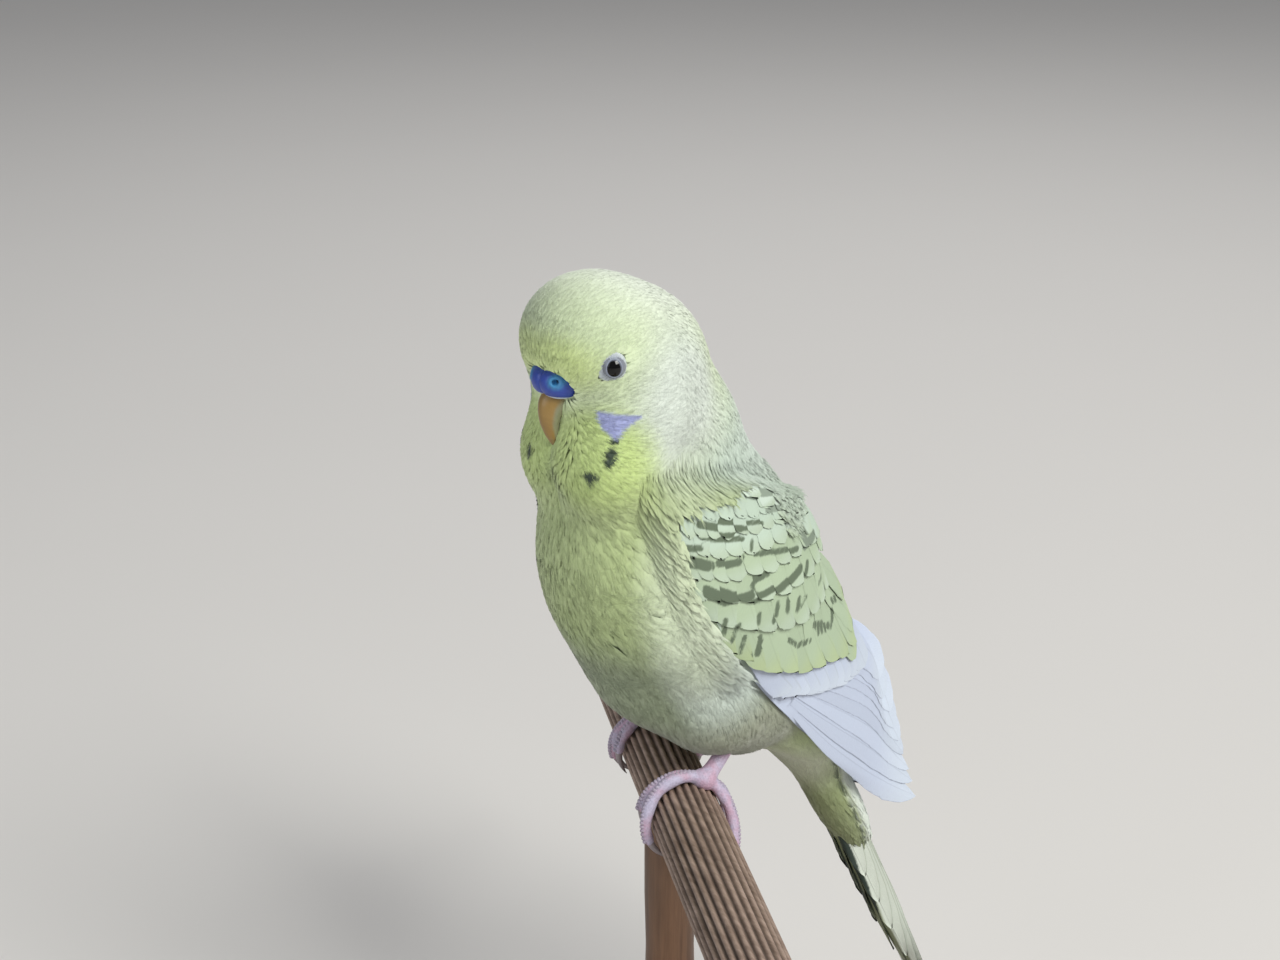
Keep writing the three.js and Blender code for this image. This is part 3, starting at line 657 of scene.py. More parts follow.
@dataclass(frozen=True)
class Horn(Finish):
    """Bill and claws: horn that runs from one colour to another, with growth lines."""

    stops: tuple[tuple[float, str], ...]
    flank: str = "8d8c70"
    roughness: float = 0.36

    def made(self) -> bpy.types.Material:
        """Makes the material."""
        s = Shader(self.name)
        along = s.carried("along")
        fine = s.noise(s.place((1.0, 1.0, 0.3)), 1800.0, 3.0)
        lines = s.noise(s.node("ShaderNodeCombineXYZ", {}, {"X": along * 26, "Y": fine, "Z": 0.0}), 1.0, 2.0)
        colour = s.node("ShaderNodeValToRGB", {"stops": self.stops}, {"Fac": along + (fine - 0.5) * 0.2})
        colour = s.mix(colour, self.flank, (s.carried("flank") + (fine - 0.5) * 0.3).step(0.5, 0.95))
        colour = s.tone(colour, 0.84 + lines * 0.32)
        normal = s.bump(lines * 0.6 + fine * 0.4, 0.0001, 0.5)
        return s.finish(Base_Color=colour, Roughness=self.roughness, Normal=normal, Coat_Weight=0.1)


@dataclass(frozen=True)
class EyeFinish(Finish):
    """The eye: a black pupil and a grey iris that pales outwards, under a clear wet surface."""

    def made(self) -> bpy.types.Material:
        """Makes the material."""
        s = Shader(self.name)
        stops = (
            (0.0, "040304"), (0.435, "060505"), (0.465, "1b181a"), (0.485, "5c606a"), (0.53, "6f737d"),
            (0.57, "80848f"),
        )
        fine = s.noise(s.place(), 3000.0, 2.0)
        place = s.carried("ring") + (fine - 0.5) * 0.02
        colour = s.node("ShaderNodeValToRGB", {"stops": stops}, {"Fac": place})
        return s.finish(
            Base_Color=colour, Roughness=0.05, Specular_IOR_Level=0.22, Coat_Weight=0.25, Coat_Roughness=0.02
        )


@dataclass(frozen=True)
class Wood(Finish):
    """Wood with its grain along one direction, with painted shade in the hollows of its flutes."""

    light: str
    dark: str
    turn: Point = (0.0, 0.0, 0.0)
    stretch: Point = (0.04, 1.0, 1.0)
    roughness: float = 0.6
    grain: float = 900.0
    groove_shade: bool = False

    def made(self) -> bpy.types.Material:
        """Makes the material."""
        s = Shader(self.name)
        place = s.place(self.stretch, self.turn)
        fibres = s.noise(place, self.grain, 5.0, 0.65)
        rings = s.noise(place, self.grain / 5, 3.0)
        patches = s.noise(s.place(), 45.0, 3.0)
        colour = s.mix(self.dark, self.light, (fibres * 0.6 + rings * 0.4).step(0.3, 0.7))
        tone = 0.85 + patches * 0.3
        # Painted shade: the flutes' hollows darkened.
        if self.groove_shade:
            tone = tone * (1 - s.carried("groove") * 0.62)
        normal = s.bump(fibres, 0.00018, 0.7)
        return s.finish(Base_Color=s.tone(colour, tone), Roughness=self.roughness, Normal=normal)


@dataclass(frozen=True)
class Backdrop(Finish):
    """The plain pale floor."""

    colour: str = "d9d6d2"

    def made(self) -> bpy.types.Material:
        """Makes the material."""
        s = Shader(self.name)
        tone = 0.99 + s.noise(s.place(), 9.0, 2.0) * 0.02
        return s.finish(Base_Color=s.tone(self.colour, tone), Roughness=0.85)


COAT = Plumage("body_feathers")
DOWN = Plumage("skin_under_feathers", 0.3, 0.85)
VANES = VaneFinish("wing_feathers")
TAIL_VANES = VaneFinish("tail_feathers", 150.0, 0.14)
LIDS = Flesh("eyelid_skin", "878ea2", "c3cbcc", 2200.0, 0.55, 1.0)
FOOT_SKIN = Flesh("scaly_foot_skin", "bab3ca", "c09fb4", 2600.0, 0.6)
SCUTE = Flesh("scute_horn", "b0a7ba", "ab9bab", 2400.0, 0.5)
CERE_SKIN = CereSkin("cere_skin")
EYE = EyeFinish("eye_wet")
BILL = Horn("bill_horn", ((0.0, "857a66"), (0.3, "987a45"), (0.7, "96753c"), (1.0, "8b8468")))
CLAW = Horn("claw_horn", ((0.0, "9a8f92"), (0.6, "857b7c"), (1.0, "5d5555")))
DOWEL = Wood("dowel_wood", "b29a8b", "766052", (0.0, 0.0, 27.5), groove_shade=True)
STAND = Wood("stand_wood", "7a5a42", "4c3424", (0.0, 0.0, 20.0), (0.08, 1.0, 1.0), 0.42, 420.0)
POST = Wood("post_wood", "7a5a42", "4c3424", (0.0, 0.0, 0.0), (1.0, 1.0, 0.05), 0.42, 700.0)
FLOOR = Backdrop("pale_floor")


# The body's form


@dataclass(frozen=True)
class Lump:
    """A rounded part of the body: its centre, half sizes and how far it leans back, in degrees."""

    side: float
    forward: float
    height: float
    half_side: float
    half_forward: float
    half_height: float
    lean: float = 0.0

    def outside(self, p: Array) -> Array:
        """Roughly how far points lie outside the lump."""
        c, n = cos_sin(self.lean)
        s = (np.abs(p[..., 0]) - self.side) / self.half_side
        df, dh = p[..., 1] - self.forward, p[..., 2] - self.height
        f, h = (df * c + dh * n) / self.half_forward, (dh * c - df * n) / self.half_height
        scaled = np.sqrt(s * s + f * f + h * h)
        squares = (s / self.half_side) ** 2 + (f / self.half_forward) ** 2 + (h / self.half_height) ** 2
        return scaled * (scaled - 1) / np.maximum(np.sqrt(squares), 1e-6)


SKULL = Lump(0, 10.4, 71.5, 13.2, 13.6, 12.8)
FOREHEAD = Lump(0, 16.1, 76.7, 12.4, 10.7, 10.2)
CHEEK = Lump(5.2, 11.8, 65.2, 8.3, 9.8, 8.5)
MASK = Lump(4.5, 15.9, 56.3, 9.7, 8.8, 9.7, -8)
NAPE = Lump(0, 1.5, 59.7, 12.3, 11.1, 16, -30)
BREAST = Lump(0, 5.7, 37, 17.9, 17.4, 24.1, -12)
BACK = Lump(0, -10, 37, 15.8, 12.9, 27, -30)
BELLY = Lump(0, -1.9, 21.6, 16.6, 17.1, 17.3, -25)
VENT = Lump(0, -17, 10, 13.2, 11.8, 14, -40)
THIGH = Lump(9.5, -1.5, 11.3, 8.6, 8.9, 7.6)
TAPER_TOP = Lump(0, -27.3, -2.1, 7.9, 6.2, 16.7, -39)
TAPER_END = Lump(0, -37.9, -20.2, 4.8, 4.2, 16.4, -30)
WING_SEAT = Lump(10.5, 5.5, 32, 8.4, 9, 17, -12)
FLANK_CONE = Lump(6.2, -20, 5.5, 6.4, 6.4, 15, -39)
THIGH_BACK = Lump(7.2, -10.5, 10, 8.6, 10.5, 9, -35)


@dataclass(frozen=True)
class BodyForm:
    """The feathered body as one smooth form, ringed from the bill (0) to the end of the coverts (5)."""

    lumps: tuple[Lump, ...] = (
        SKULL, FOREHEAD, CHEEK, MASK, NAPE, BREAST, BACK, BELLY, VENT, THIGH, TAPER_TOP, TAPER_END,
        WING_SEAT, FLANK_CONE, THIGH_BACK,
    )
    blend: float = 1.5

    def outside(self, p: Array) -> Array:
        """How far points lie outside the form."""
        total = sum(np.exp(-lump.outside(p) / self.blend) for lump in self.lumps)
        return -self.blend * np.log(total)

    def normal(self, p: Array) -> Array:
        """The way that the surface faces near points."""
        h = 0.05
        steps = [self.outside(p + h * axis) - self.outside(p - h * axis) for axis in np.eye(3)]
        return unit(vec(*steps))

    def rest(self, p: Array, level: Array) -> Array:
        """Points moved straight out or in until they lie level millimetres outside the form."""
        for _ in range(2):
            p = p - self.normal(p) * (self.outside(p) - level)[..., None]
        return p

    def surface(self, t: Array, turn: Array, level: float = 0.0) -> Array:
        """The points at ring t and turn degrees round it, 0 on the back and 90 on the left.

        Args:
            t: ring places from 0 to 5.
            turn: degrees round the ring.
            level: how far outside the form the points lie.

        Returns:
            The points in the bird's frame.
        """
        knots = range(LAST_RING + 1)
        forward = np.interp(t, knots, [9.5, 9.5, 0, -19, -40, -40])
        height = np.interp(t, knots, [71, 71, 46, 6, -26, -26])
        angle = np.radians(np.interp(t, knots, [166, 166, 241, 236, 236, 236]))
        opening = np.radians(np.interp(t, knots, [0, 90, 90, 90, 90, 180]))[..., None]
        turn = np.radians(turn)
        axis = vec(0, np.cos(angle), np.sin(angle))
        out = vec(np.sin(turn), np.cos(turn) * np.sin(angle), np.cos(turn) * -np.cos(angle))
        way = np.sin(opening) * out - np.cos(opening) * axis
        return reached(self.outside, vec(0, forward, height), way, 45.0, 22, level)


BODY = BodyForm()


@dataclass(frozen=True)
class WingForm:
    """The left wing's face, drawn flat: u from its bend to its tip, v up from its lower edge."""

    edge: tuple[Point, ...] = (
        (18, 13.2, 49.9), (20.9, 9.9, 23), (21.7, -15.6, 3.8), (8.1, -30.6, -8.7), (4.7, -54.3, -24),
    )
    tip_up: tuple[float, ...] = (-10, -18, 1, 7, 31)
    bend_radius: tuple[float, ...] = (32, 25, 35, 39, 73)
    length: float = 101.0

    def _station(self, values: Sequence[float], u: Array) -> Array:
        """A value that eases between five stations along the wing."""
        place = np.clip(u / 25, 0, 4)
        i = np.minimum(place.astype(int), 3)
        values = np.asarray(values, float)
        return values[i] + (values[i + 1] - values[i]) * smooth(place - i)

    def lower_edge(self, u: Array) -> Array:
        """Points of the lower edge."""
        s = (u / self.length)[..., None]
        weights = [w * s**i * (1 - s) ** (4 - i) for i, w in enumerate((1, 4, 6, 4, 1))]
        return sum(w * np.asarray(p, float) for w, p in zip(weights, self.edge))

    def at(self, u: Array, v: Array, lift: Array | float = 0.0) -> tuple[Array, Array]:
        """Points over the wing's face and the way that it faces there.

        Args:
            u: millimetres from the bend along the lower edge.
            v: millimetres up from the lower edge.
            lift: millimetres above the face.

        Returns:
            The points and their normals.
        """
        u, v, lift = np.broadcast_arrays(*(np.asarray(x, float) for x in (u, v, lift)))
        along = unit(self.lower_edge(u + 0.5) - self.lower_edge(u - 0.5))
        side = unit(np.array([1.0, 0.0, 0.0]) - along * along[..., :1])
        upward = np.cross(side, along)
        flip = np.where((upward[..., 2] - upward[..., 1]) < 0, -1.0, 1.0)[..., None]
        upward = upward * flip
        tip = np.radians(self._station(self.tip_up, u))[..., None]
        out = side * np.cos(tip) + upward * np.sin(tip)
        chord = upward * np.cos(tip) - side * np.sin(tip)
        radius = self._station(self.bend_radius, u)[..., None]
        angle = v[..., None] / radius
        normal = out * np.cos(angle) + chord * np.sin(angle)
        point = self.lower_edge(u) + chord * radius * np.sin(angle) + out * radius * (np.cos(angle) - 1)
        return point + normal * lift[..., None], normal

    def laid(self, u: Array, v: Array, lift: Array) -> tuple[Array, Array]:
        """Points over the wing's face that run down onto the body past its bend and lower edge.

        Args:
            u: millimetres from the bend along the lower edge.
            v: millimetres up from the lower edge.
            lift: millimetres above the face.

        Returns:
            The points and the way that the surface faces there.
        """
        point, normal = self.at(u, v, lift)
        top = np.interp(u, [-8, 0, 8, 20, 32], [10, 17, 24, 33, 44])
        on_wing = smooth((u + 6.5) / 7) * smooth((v + 6) / 6) * smooth((top + 7 - v) / 8)
        level = between(-0.62 + 0.33 * (lift + 0.5), BODY.outside(point), on_wing)
        point = BODY.rest(point, level)
        return point, unit(between(BODY.normal(point), normal, on_wing[..., None]))


WING = WingForm()


# Colours of the plumage


class Hue(Enum):
    """The plumage's colours."""

    # The breast and belly hues are partly the feathers' own greens and partly painted shade, darkened for the
    # shade on the lower body.
    BREAST = "b4c788"
    UPPER_BREAST_PAINTED_SHADE = "bccd92"
    BELLY = "9daa8a"
    LOW_BELLY_PAINTED_SHADE = "959a86"
    FLANK = "c6d2c8"
    # Partly the flank feathers' own whitish colour and partly painted light on the shaded ramp in front of
    # the wing.
    WING_EDGE_PAINTED_LIGHT = "e4f1d0"
    # The under-tail feathers' own colour made lighter with painted light against the shade below the tail.
    UNDER_TAIL = "d0d9bb"
    TAIL_COVERT = "97a374"
    NAPE = "cfded0"
    SHOULDER = "bccdb8"
    RUMP = "bccf96"
    HEAD = "d9e8be"
    CROWN = "e6efdc"
    LEMON = "d8ea9c"
    MASK = "c9de8e"
    EAR = "e0e9de"
    CHEEK_PATCH = "a9b0e0"
    SPOT = "3d4a3c"
    WING_PALE = "b0c1a4"
    WING_MINT = "bfd0bf"
    WING_LIME = "b4c49a"
    WING_SOFT = "bacab4"
    WING_DARK = "66735f"
    WING_GREY = "93a091"
    WHITE = "ccd5e3"
    LILAC_WHITE = "c2cbdf"
    PRIMARY_LINE = "8f93a6"
    TAIL_OLIVE = "93a06c"
    TAIL_GREY = "9aa293"
    # Pale mint; on the tail's underside flanks and on the body behind the tail it is partly painted light.
    TAIL_MINT = "e9f2e6"
    # A painted shadow: the dark line along the tail's folded edge.
    TAIL_PAINTED_SHADOW = "39453f"

    def rgb(self) -> Array:
        """The colour as linear numbers."""
        return paint(self.value)


@dataclass(frozen=True)
class Wash:
    """A soft patch of colour: its hue, centre and half sizes, and how far its edge runs out."""

    hue: Hue
    centre: Point
    size: Point
    soft: float = 0.8
    strength: float = 1.0

    def cover(self, p: Array) -> Array:
        """How much the wash covers points, on both sides of the bird."""
        q = vec(np.abs(p[..., 0]), p[..., 1], p[..., 2])
        far = np.linalg.norm((q - self.centre) / self.size, axis=-1)
        return self.strength * smooth((1 + self.soft / 2 - far) / self.soft)


@dataclass(frozen=True)
class Spot:
    """A dark spot on the face: sideways round it, height, half sizes, tilt and side of the bird."""

    around: float
    height: float
    half_width: float
    half_height: float
    tilt: float
    side: float

    def inside(self, around: Array, height: Array) -> Array:
        """How deep places lie inside the spot, in millimetres."""
        c, n = cos_sin(self.tilt)
        x, y = around - self.around, height - self.height
        a, b = (x * c + y * n) / self.half_width, (y * c - x * n) / self.half_height
        return (1 - np.sqrt(a * a + b * b)) * self.half_width


@dataclass(frozen=True)
class Colouring:
    """Where the body's colours lie. Skin and feathers are both coloured by it."""

    washes: tuple[Wash, ...] = (
        # The breast and belly washes lay painted shade over the lower body as well as its own greens.
        Wash(Hue.UPPER_BREAST_PAINTED_SHADE, (7, 20, 44), (18, 14, 16)),
        Wash(Hue.BELLY, (4, 6, 14), (17, 20, 15)),
        Wash(Hue.LOW_BELLY_PAINTED_SHADE, (3, -4, 3), (12, 16, 8)),
        Wash(Hue.FLANK, (19, 3, 22), (7, 13, 16)),
        Wash(Hue.RUMP, (0, -36, 14), (16, 18, 22)),
        # The under-tail wash carries painted light against the shade below the tail.
        Wash(Hue.UNDER_TAIL, (0, -24, -6), (12, 12, 16)),
        Wash(Hue.TAIL_COVERT, (0, -42, -26), (10, 14, 18)),
        Wash(Hue.SHOULDER, (10, -14, 50), (14, 12, 14)),
        Wash(Hue.SHOULDER, (0, -25, 38), (11, 10, 16)),
        Wash(Hue.NAPE, (4, -4, 58), (15, 12, 15)),
        Wash(Hue.LOW_BELLY_PAINTED_SHADE, (13, -5, 7), (10, 14, 8)),
        # Painted light, with the flank's own whitish colour, on the shaded ramp in front of the wing's lower
        # edge.
        Wash(Hue.WING_EDGE_PAINTED_LIGHT, (17, 9, 36), (6.5, 9, 18), 0.9, 0.8),
        Wash(Hue.HEAD, (0, 12, 72), (20, 20, 16)),
        Wash(Hue.CROWN, (0, 6, 84), (14, 15, 9), 1.2),
        Wash(Hue.EAR, (14, 8, 68), (8, 9, 12), 1.0),
        Wash(Hue.LEMON, (3, 27, 75), (9, 7, 4.5), 1.0, 0.9),
        Wash(Hue.MASK, (8, 22, 60), (9.5, 9, 8), 0.7, 0.95),
    )
    spots: tuple[Spot, ...] = (
        Spot(10.0, 60.7, 0.8, 1.6, -8, 1),
        Spot(7.6, 57.6, 1.15, 0.62, 0, 1),
        Spot(7.5, 56.6, 0.35, 0.9, 0, 1),
        Spot(10.4, 63.2, 0.75, 0.45, 15, 1),
        Spot(4.6, 57.9, 0.7, 1.4, 6, -1),
        Spot(9.3, 58.6, 0.7, 1.5, 8, -1),
        Spot(10.2, 63.2, 0.75, 0.45, -15, -1),
    )
    cheek: tuple[Pair, ...] = (
        (7.7, 68.0), (10.5, 67.6), (14.4, 67.2), (12.0, 65.3), (10.7, 63.3), (8.6, 65.2),
    )

    def face_map(self, p: Array) -> tuple[Array, Array, Array]:
        """Places on the face: how far round it to either side, the height, and which side."""
        around = 13 * np.arctan2(np.abs(p[..., 0]), p[..., 1] - 9.5)
        return around, p[..., 2], np.where(p[..., 0] >= 0, 1, -1)

    def cheek_depth(self, around: Array, height: Array) -> Array:
        """How deep places lie inside the cheek patch.

        Args:
            around: how far round the face they are.
            height: how high they are.

        Returns:
            The depth in millimetres, below zero outside the patch.
        """
        corners = np.array(self.cheek)
        depth = np.full(np.shape(around), np.inf)
        inside = np.zeros(np.shape(around), bool)
        for a, b in zip(corners, np.roll(corners, -1, axis=0)):
            edge = b - a
            dx, dy = around - a[0], height - a[1]
            share = np.clip((dx * edge[0] + dy * edge[1]) / (edge @ edge), 0, 1)
            depth = np.minimum(depth, np.hypot(dx - share * edge[0], dy - share * edge[1]))
            crosses = (a[1] > height) != (b[1] > height)
            slope = edge[0] / edge[1] if abs(edge[1]) > 1e-9 else 0.0
            inside ^= crosses & (around < a[0] + slope * (height - a[1]))
        return np.where(inside, depth, -depth)

    def at(self, p: Array) -> Array:
        """The plumage's colour.

        Args:
            p: points in the bird's frame.

        Returns:
            The colour at each of them, in linear numbers.
        """
        layers = [(wash.hue, wash.cover(p)) for wash in self.washes]
        edge = p[..., 1] + 26.6 - 0.55 * p[..., 2]
        low = smooth((-5.5 - p[..., 2]) / 2) * smooth((np.abs(p[..., 0]) - 1.2) / 1)
        # The pale patch where the tail leaves the body is partly painted light.
        layers.append((Hue.TAIL_MINT, smooth(-edge / 1.6 - 0.1) * smooth((-3 - p[..., 2]) / 5)))
        # The dark line along that edge is a painted shadow.
        layers.append((Hue.TAIL_PAINTED_SHADOW, 0.75 * smooth(1.5 - np.abs(edge) / 0.4) * low))
        around, height, side = self.face_map(p)
        front = p[..., 1] > 12
        layers.append((Hue.CHEEK_PATCH, smooth(self.cheek_depth(around, height) / 0.5 + 0.5) * front))
        for spot in self.spots:
            deep = smooth(spot.inside(around, height) / 0.3 + 0.5)
            layers.append((Hue.SPOT, deep * front * (side == spot.side)))
        # The ground colour is the breast hue, which holds painted shade.
        colour = np.broadcast_to(Hue.BREAST.rgb(), p.shape)
        for hue, cover in layers:
            colour = between(colour, hue.rgb(), cover[..., None])
        return colour


COLOURING = Colouring()


# The coat of small feathers


def bake_place(t: Array, turn: Array) -> Array:
    """The place on the coat's bake map of ring t and turn degrees round it."""
    return vec((turn % 360) / 360, t / LAST_RING) * (1 - 2 * BAKE_MARGIN) + BAKE_MARGIN


@dataclass
class Quills:
    """Feathers on the body: where each is rooted and how it is shaped."""

    root: Array
    lie: Array
    length: Array
    half_width: Array
    tip_level: Array
    bake: Array

    def keep(self, chosen: Array) -> "Quills":
        """The chosen feathers alone."""
        return Quills(*(getattr(self, key)[chosen] for key in self.__dataclass_fields__))


@dataclass
class Coat:
    """The small feathers of the body, each a thin leaf with a fan of fine barbs over it."""

    seed: int = 11
    rings: int = 340
    columns: int = 190
    gap: float = 0.88
    length: float = 4.9
    half_width: float = 1.25
    root_level: float = -0.75
    stations: Array = field(default_factory=lambda: np.array([0.0, 0.22, 0.5, 0.82, 1.0]))
    outline: Array = field(default_factory=lambda: np.array([0.5, 0.92, 1.0, 0.76, 0.18]))
    rise: tuple[float, ...] = (0.0, 0.64, 0.95, 1.0, 0.8)
    barbs: int = 8
    sections: tuple[tuple[str, float, float], ...] = (
        ("coat_face", 0.0, 0.45), ("coat_crown", 0.45, 0.8), ("coat_nape", 0.8, 1.15),
        ("coat_shoulders", 1.15, 1.6), ("coat_breast", 1.6, 2.0), ("coat_body", 2.0, 2.5),
        ("coat_belly", 2.5, 3.1), ("coat_under_tail", 3.1, 5.0),
    )

    def scale(self, p: Array) -> Array:
        """How large feathers are, 1 on the breast: finest on the face, larger under the tail."""
        face = smooth((p[..., 1] - 10) / 14) * smooth((p[..., 2] - 52) / 8)
        head = smooth((p[..., 2] - 48) / 16)
        low = smooth((4 - p[..., 2]) / 20)
        return 1 - 0.36 * head - 0.14 * face + 0.25 * low

    def quills(self) -> Quills:
        """Sets feathers evenly over the body, lying from the bill to the tail.

        Returns:
            The feathers.
        """
        rng = np.random.default_rng(self.seed)
        size = (self.rings, self.columns)
        t = np.linspace(0.03, 4.9, self.rings)[:, None] + rng.uniform(-0.007, 0.007, size)
        turn = (np.arange(self.columns) + rng.uniform(-0.5, 0.5, size)) * 360 / self.columns
        t, turn = t.ravel(), turn.ravel()
        root = BODY.surface(t, turn, self.root_level)
        chosen = thinned(root, self.gap * self.scale(root), rng)
        t, turn, root = t[chosen], turn[chosen], root[chosen]
        lie = unit(BODY.surface(t + 0.02, turn, self.root_level) - root)
        scale, count = self.scale(root), len(root)
        lift = rng.uniform(-0.03, 0.07, count)
        length = self.length * scale * rng.uniform(0.85, 1.2, count)
        half_width = self.half_width * scale * rng.uniform(0.85, 1.1, count)
        quills = Quills(root, lie, length, half_width, lift, bake_place(t, turn))
        return self.bearded(quills.keep(self.bare(quills)))

    def bearded(self, quills: Quills) -> Quills:
        """Turns the feathers beside the bill down over its sides and raises them there.

        Args:
            quills: all feathers of the body.

        Returns:
            The same feathers.
        """
        p = quills.root
        near = smooth((5.6 - np.abs(p[:, 0])) / 3.2) * smooth((p[:, 1] - 17) / 3)
        near = near * smooth((p[:, 2] - 56.5) / 3) * smooth((69.5 - p[:, 2]) / 1.5)
        goal = np.array([0.0, 24.8, 58.8]) - p
        way = unit(unit(goal) + np.array([0, 0, -0.5]))
        quills.lie = unit(between(quills.lie, way, near[:, None]))
        quills.tip_level = quills.tip_level + 0.7 * near * smooth((68.6 - p[:, 2]) / 5)
        quills.length = quills.length * (1 + 0.2 * near)
        return quills

    def bare(self, quills: Quills) -> Array:
        """Finds the feathers that stay clear of the eyes, the cere and bill, and the wings' undersides.

        Args:
            quills: all feathers of the body.

        Returns:
            True for each feather that is kept.
        """
        end = quills.root + quills.lie * quills.length[:, None]
        middle = (quills.root + end) / 2
        keep = np.ones(len(end), bool)
        for eye in EYES:
            keep &= eye.clear(quills.root, 0.96) & eye.clear(middle, 0.86) & eye.clear(end, 0.76)
        for place in (quills.root, middle):
            keep &= CERE.outside(place) > 0.1
        bill = (quills.root - np.array([0, 24.3, 66.6])) / np.array([1.7, 4.5, 3.0])
        keep &= np.linalg.norm(bill, axis=1) > 1
        u, v = np.meshgrid(np.arange(3, 56, 2.0), np.linspace(0.1, 0.86, 12))
        v = v * np.interp(u, *WingFeathers.outline_knots())
        face, normal = (a.reshape(-1, 3) for a in WING.at(u, v))
        left = quills.root.copy()
        left[:, 0] = np.abs(left[:, 0])
        for i in range(0, len(left), 500):
            part = left[i : i + 500]
            away = part[:, None, :] - face[None, :, :]
            nearest = np.linalg.norm(away, axis=2).argmin(axis=1)
            gap = away[np.arange(len(part)), nearest]
            depth = np.einsum("ij,ij->i", gap, normal[nearest])
            sideways = np.linalg.norm(gap - depth[:, None] * normal[nearest], axis=1)
            keep[i : i + 500] &= ~((depth < -0.4) & (sideways < 2.0))
        return keep

    def spines(self, quills: Quills) -> tuple[Array, Array, Array]:
        """Lays each feather's shaft along the body.

        Args:
            quills: the feathers.

        Returns:
            The shafts' points, the normals and the sideways directions at the stations.
        """
        points, normals, sides = [], [], []
        p, lie = quills.root, quills.lie
        raised = 0.92 * np.maximum(quills.tip_level - 0.1, 0)
        for i, share in enumerate(self.stations):
            if i:
                step = (share - self.stations[i - 1]) * quills.length
                p = p + lie * step[:, None]
            level = self.root_level + raised + (quills.tip_level - self.root_level - raised) * self.rise[i]
            p = BODY.rest(p, level)
            n = BODY.normal(p)
            lie = unit(lie - n * np.einsum("ij,ij->i", lie, n)[:, None])
            points.append(p)
            normals.append(n)
            sides.append(np.cross(n, lie))
        return np.stack(points, 1), np.stack(normals, 1), np.stack(sides, 1)

    def leaves(self, mould: Mould, quills: Quills, spine: Array, normal: Array, side: Array) -> None:
        """Adds each feather's thin leaf to the mould, three points round at every station.

        Args:
            mould: the piece that the leaves go into.
            quills: the feathers.
            spine: the shafts' points, feathers by stations by three.
            normal: the normals there.
            side: the sideways directions there.
        """
        half = quills.half_width[:, None] * self.outline[None, :]
        drop = normal * (0.025 + 0.03 * half[..., None])
        left = spine + side * half[..., None] - drop
        right = spine - side * half[..., None] - drop
        ring = np.stack([left, spine + normal * 0.02, right], axis=2)
        count, rows = ring.shape[:2]
        points = ring.reshape(-1, 3)
        caps = np.array([[0, 2, 1], [3 * rows - 3, 3 * rows - 2, 3 * rows - 1]])
        quads, caps = outwards(points[: 3 * rows], [grid_faces(rows, 3, True), caps])
        shift = (np.arange(count) * 3 * rows)[:, None, None]
        share = np.broadcast_to(self.stations[None, :, None], (count, rows, 3))
        across = np.broadcast_to(np.array([1.0, 0.0, -1.0]), (count, rows, 3))
        patch = vec(across * 0.5, share - 0.5) * BAKE_PATCH + quills.bake[:, None, None, :]
        tone = (1.16 - 0.04 * np.abs(across) - 0.15 * share).reshape(-1, 1)
        way = normal[:, :, None, :] + 0.25 * across[..., None] * side[:, :, None, :]
        faces = [outward_halves(points, (quads + shift).reshape(-1, 4)), (caps + shift).reshape(-1, 3)]
        mould.add(
            points, faces, Plumage=COLOURING.at(points) * tone, OFBake=patch.reshape(-1, 2),
            facing=way.reshape(-1, 3),
        )

    def fans(
        self, mould: Mould, quills: Quills, spine: Array, normal: Array, side: Array, rng: np.random.Generator
    ) -> None:
        """Adds the barbs over each leaf, thin three-sided spikes from the shaft out past its edge.

        Args:
            mould: the piece that the barbs go into.
            quills: the feathers.
            spine: the shafts' points, feathers by stations by three.
            normal: the normals there.
            side: the sideways directions there.
            rng: the source of the barbs' irregularities.
        """
        count = len(spine)

        def along(values: Array, share: Array) -> Array:
            """Values at shares of the shaft, carried straight on past its end."""
            i = np.clip(np.searchsorted(self.stations, share) - 1, 0, len(self.stations) - 2)
            low, high = self.stations[i], self.stations[i + 1]
            rows = np.arange(count)
            return between(values[rows, i], values[rows, i + 1], ((share - low) / (high - low))[..., None])

        for k in range(self.barbs * 2):
            sign = 1 if k % 2 else -1
            start = 0.26 + 0.62 * (k // 2) / (self.barbs - 1) + rng.uniform(-0.05, 0.05, count)
            end = start + rng.uniform(0.26, 0.5, count)
            spread = np.interp(end, self.stations, self.outline) * rng.uniform(0.5, 1.1, count)
            spread = spread * quills.half_width * sign
            base = along(spine, start)
            n = unit(along(normal, np.minimum(start, 1)))
            tip = along(spine, end) + along(side, np.minimum(end, 1)) * spread[:, None]
            rise = rng.uniform(0.0, 0.1, count) - 0.05 * np.abs(spread) + np.maximum(end - 0.8, 0)
            tip = tip + n * rise[:, None]
            wide = np.cross(n, unit(tip - base))
            width = (quills.half_width * rng.uniform(0.08, 0.14, count))[:, None]
            low = base - n * 0.03
            spike = np.stack([low - wide * width, low + wide * width, base + n * 0.05, tip], axis=1)
            points = spike.reshape(-1, 3)
            faces = outwards(points[:4], [np.array([[0, 1, 2], [0, 3, 1], [1, 3, 2], [2, 3, 0]])])[0]
            shift = (np.arange(count) * 4)[:, None, None]
            tone = rng.uniform(0.87, 1.1, count)[:, None] * np.array([0.95, 0.95, 1.0, 1.06])[None, :]
            colour = COLOURING.at(base * 0.35 + tip * 0.65)[:, None, :] * tone[..., None]
            patch = quills.bake[:, None, :] + BAKE_PATCH * np.array([(-0.5, 0), (0.5, 0), (0, 0), (0, 0.5)])
            way = np.stack([n - wide * 0.4, n + wide * 0.4, n, n], axis=1)
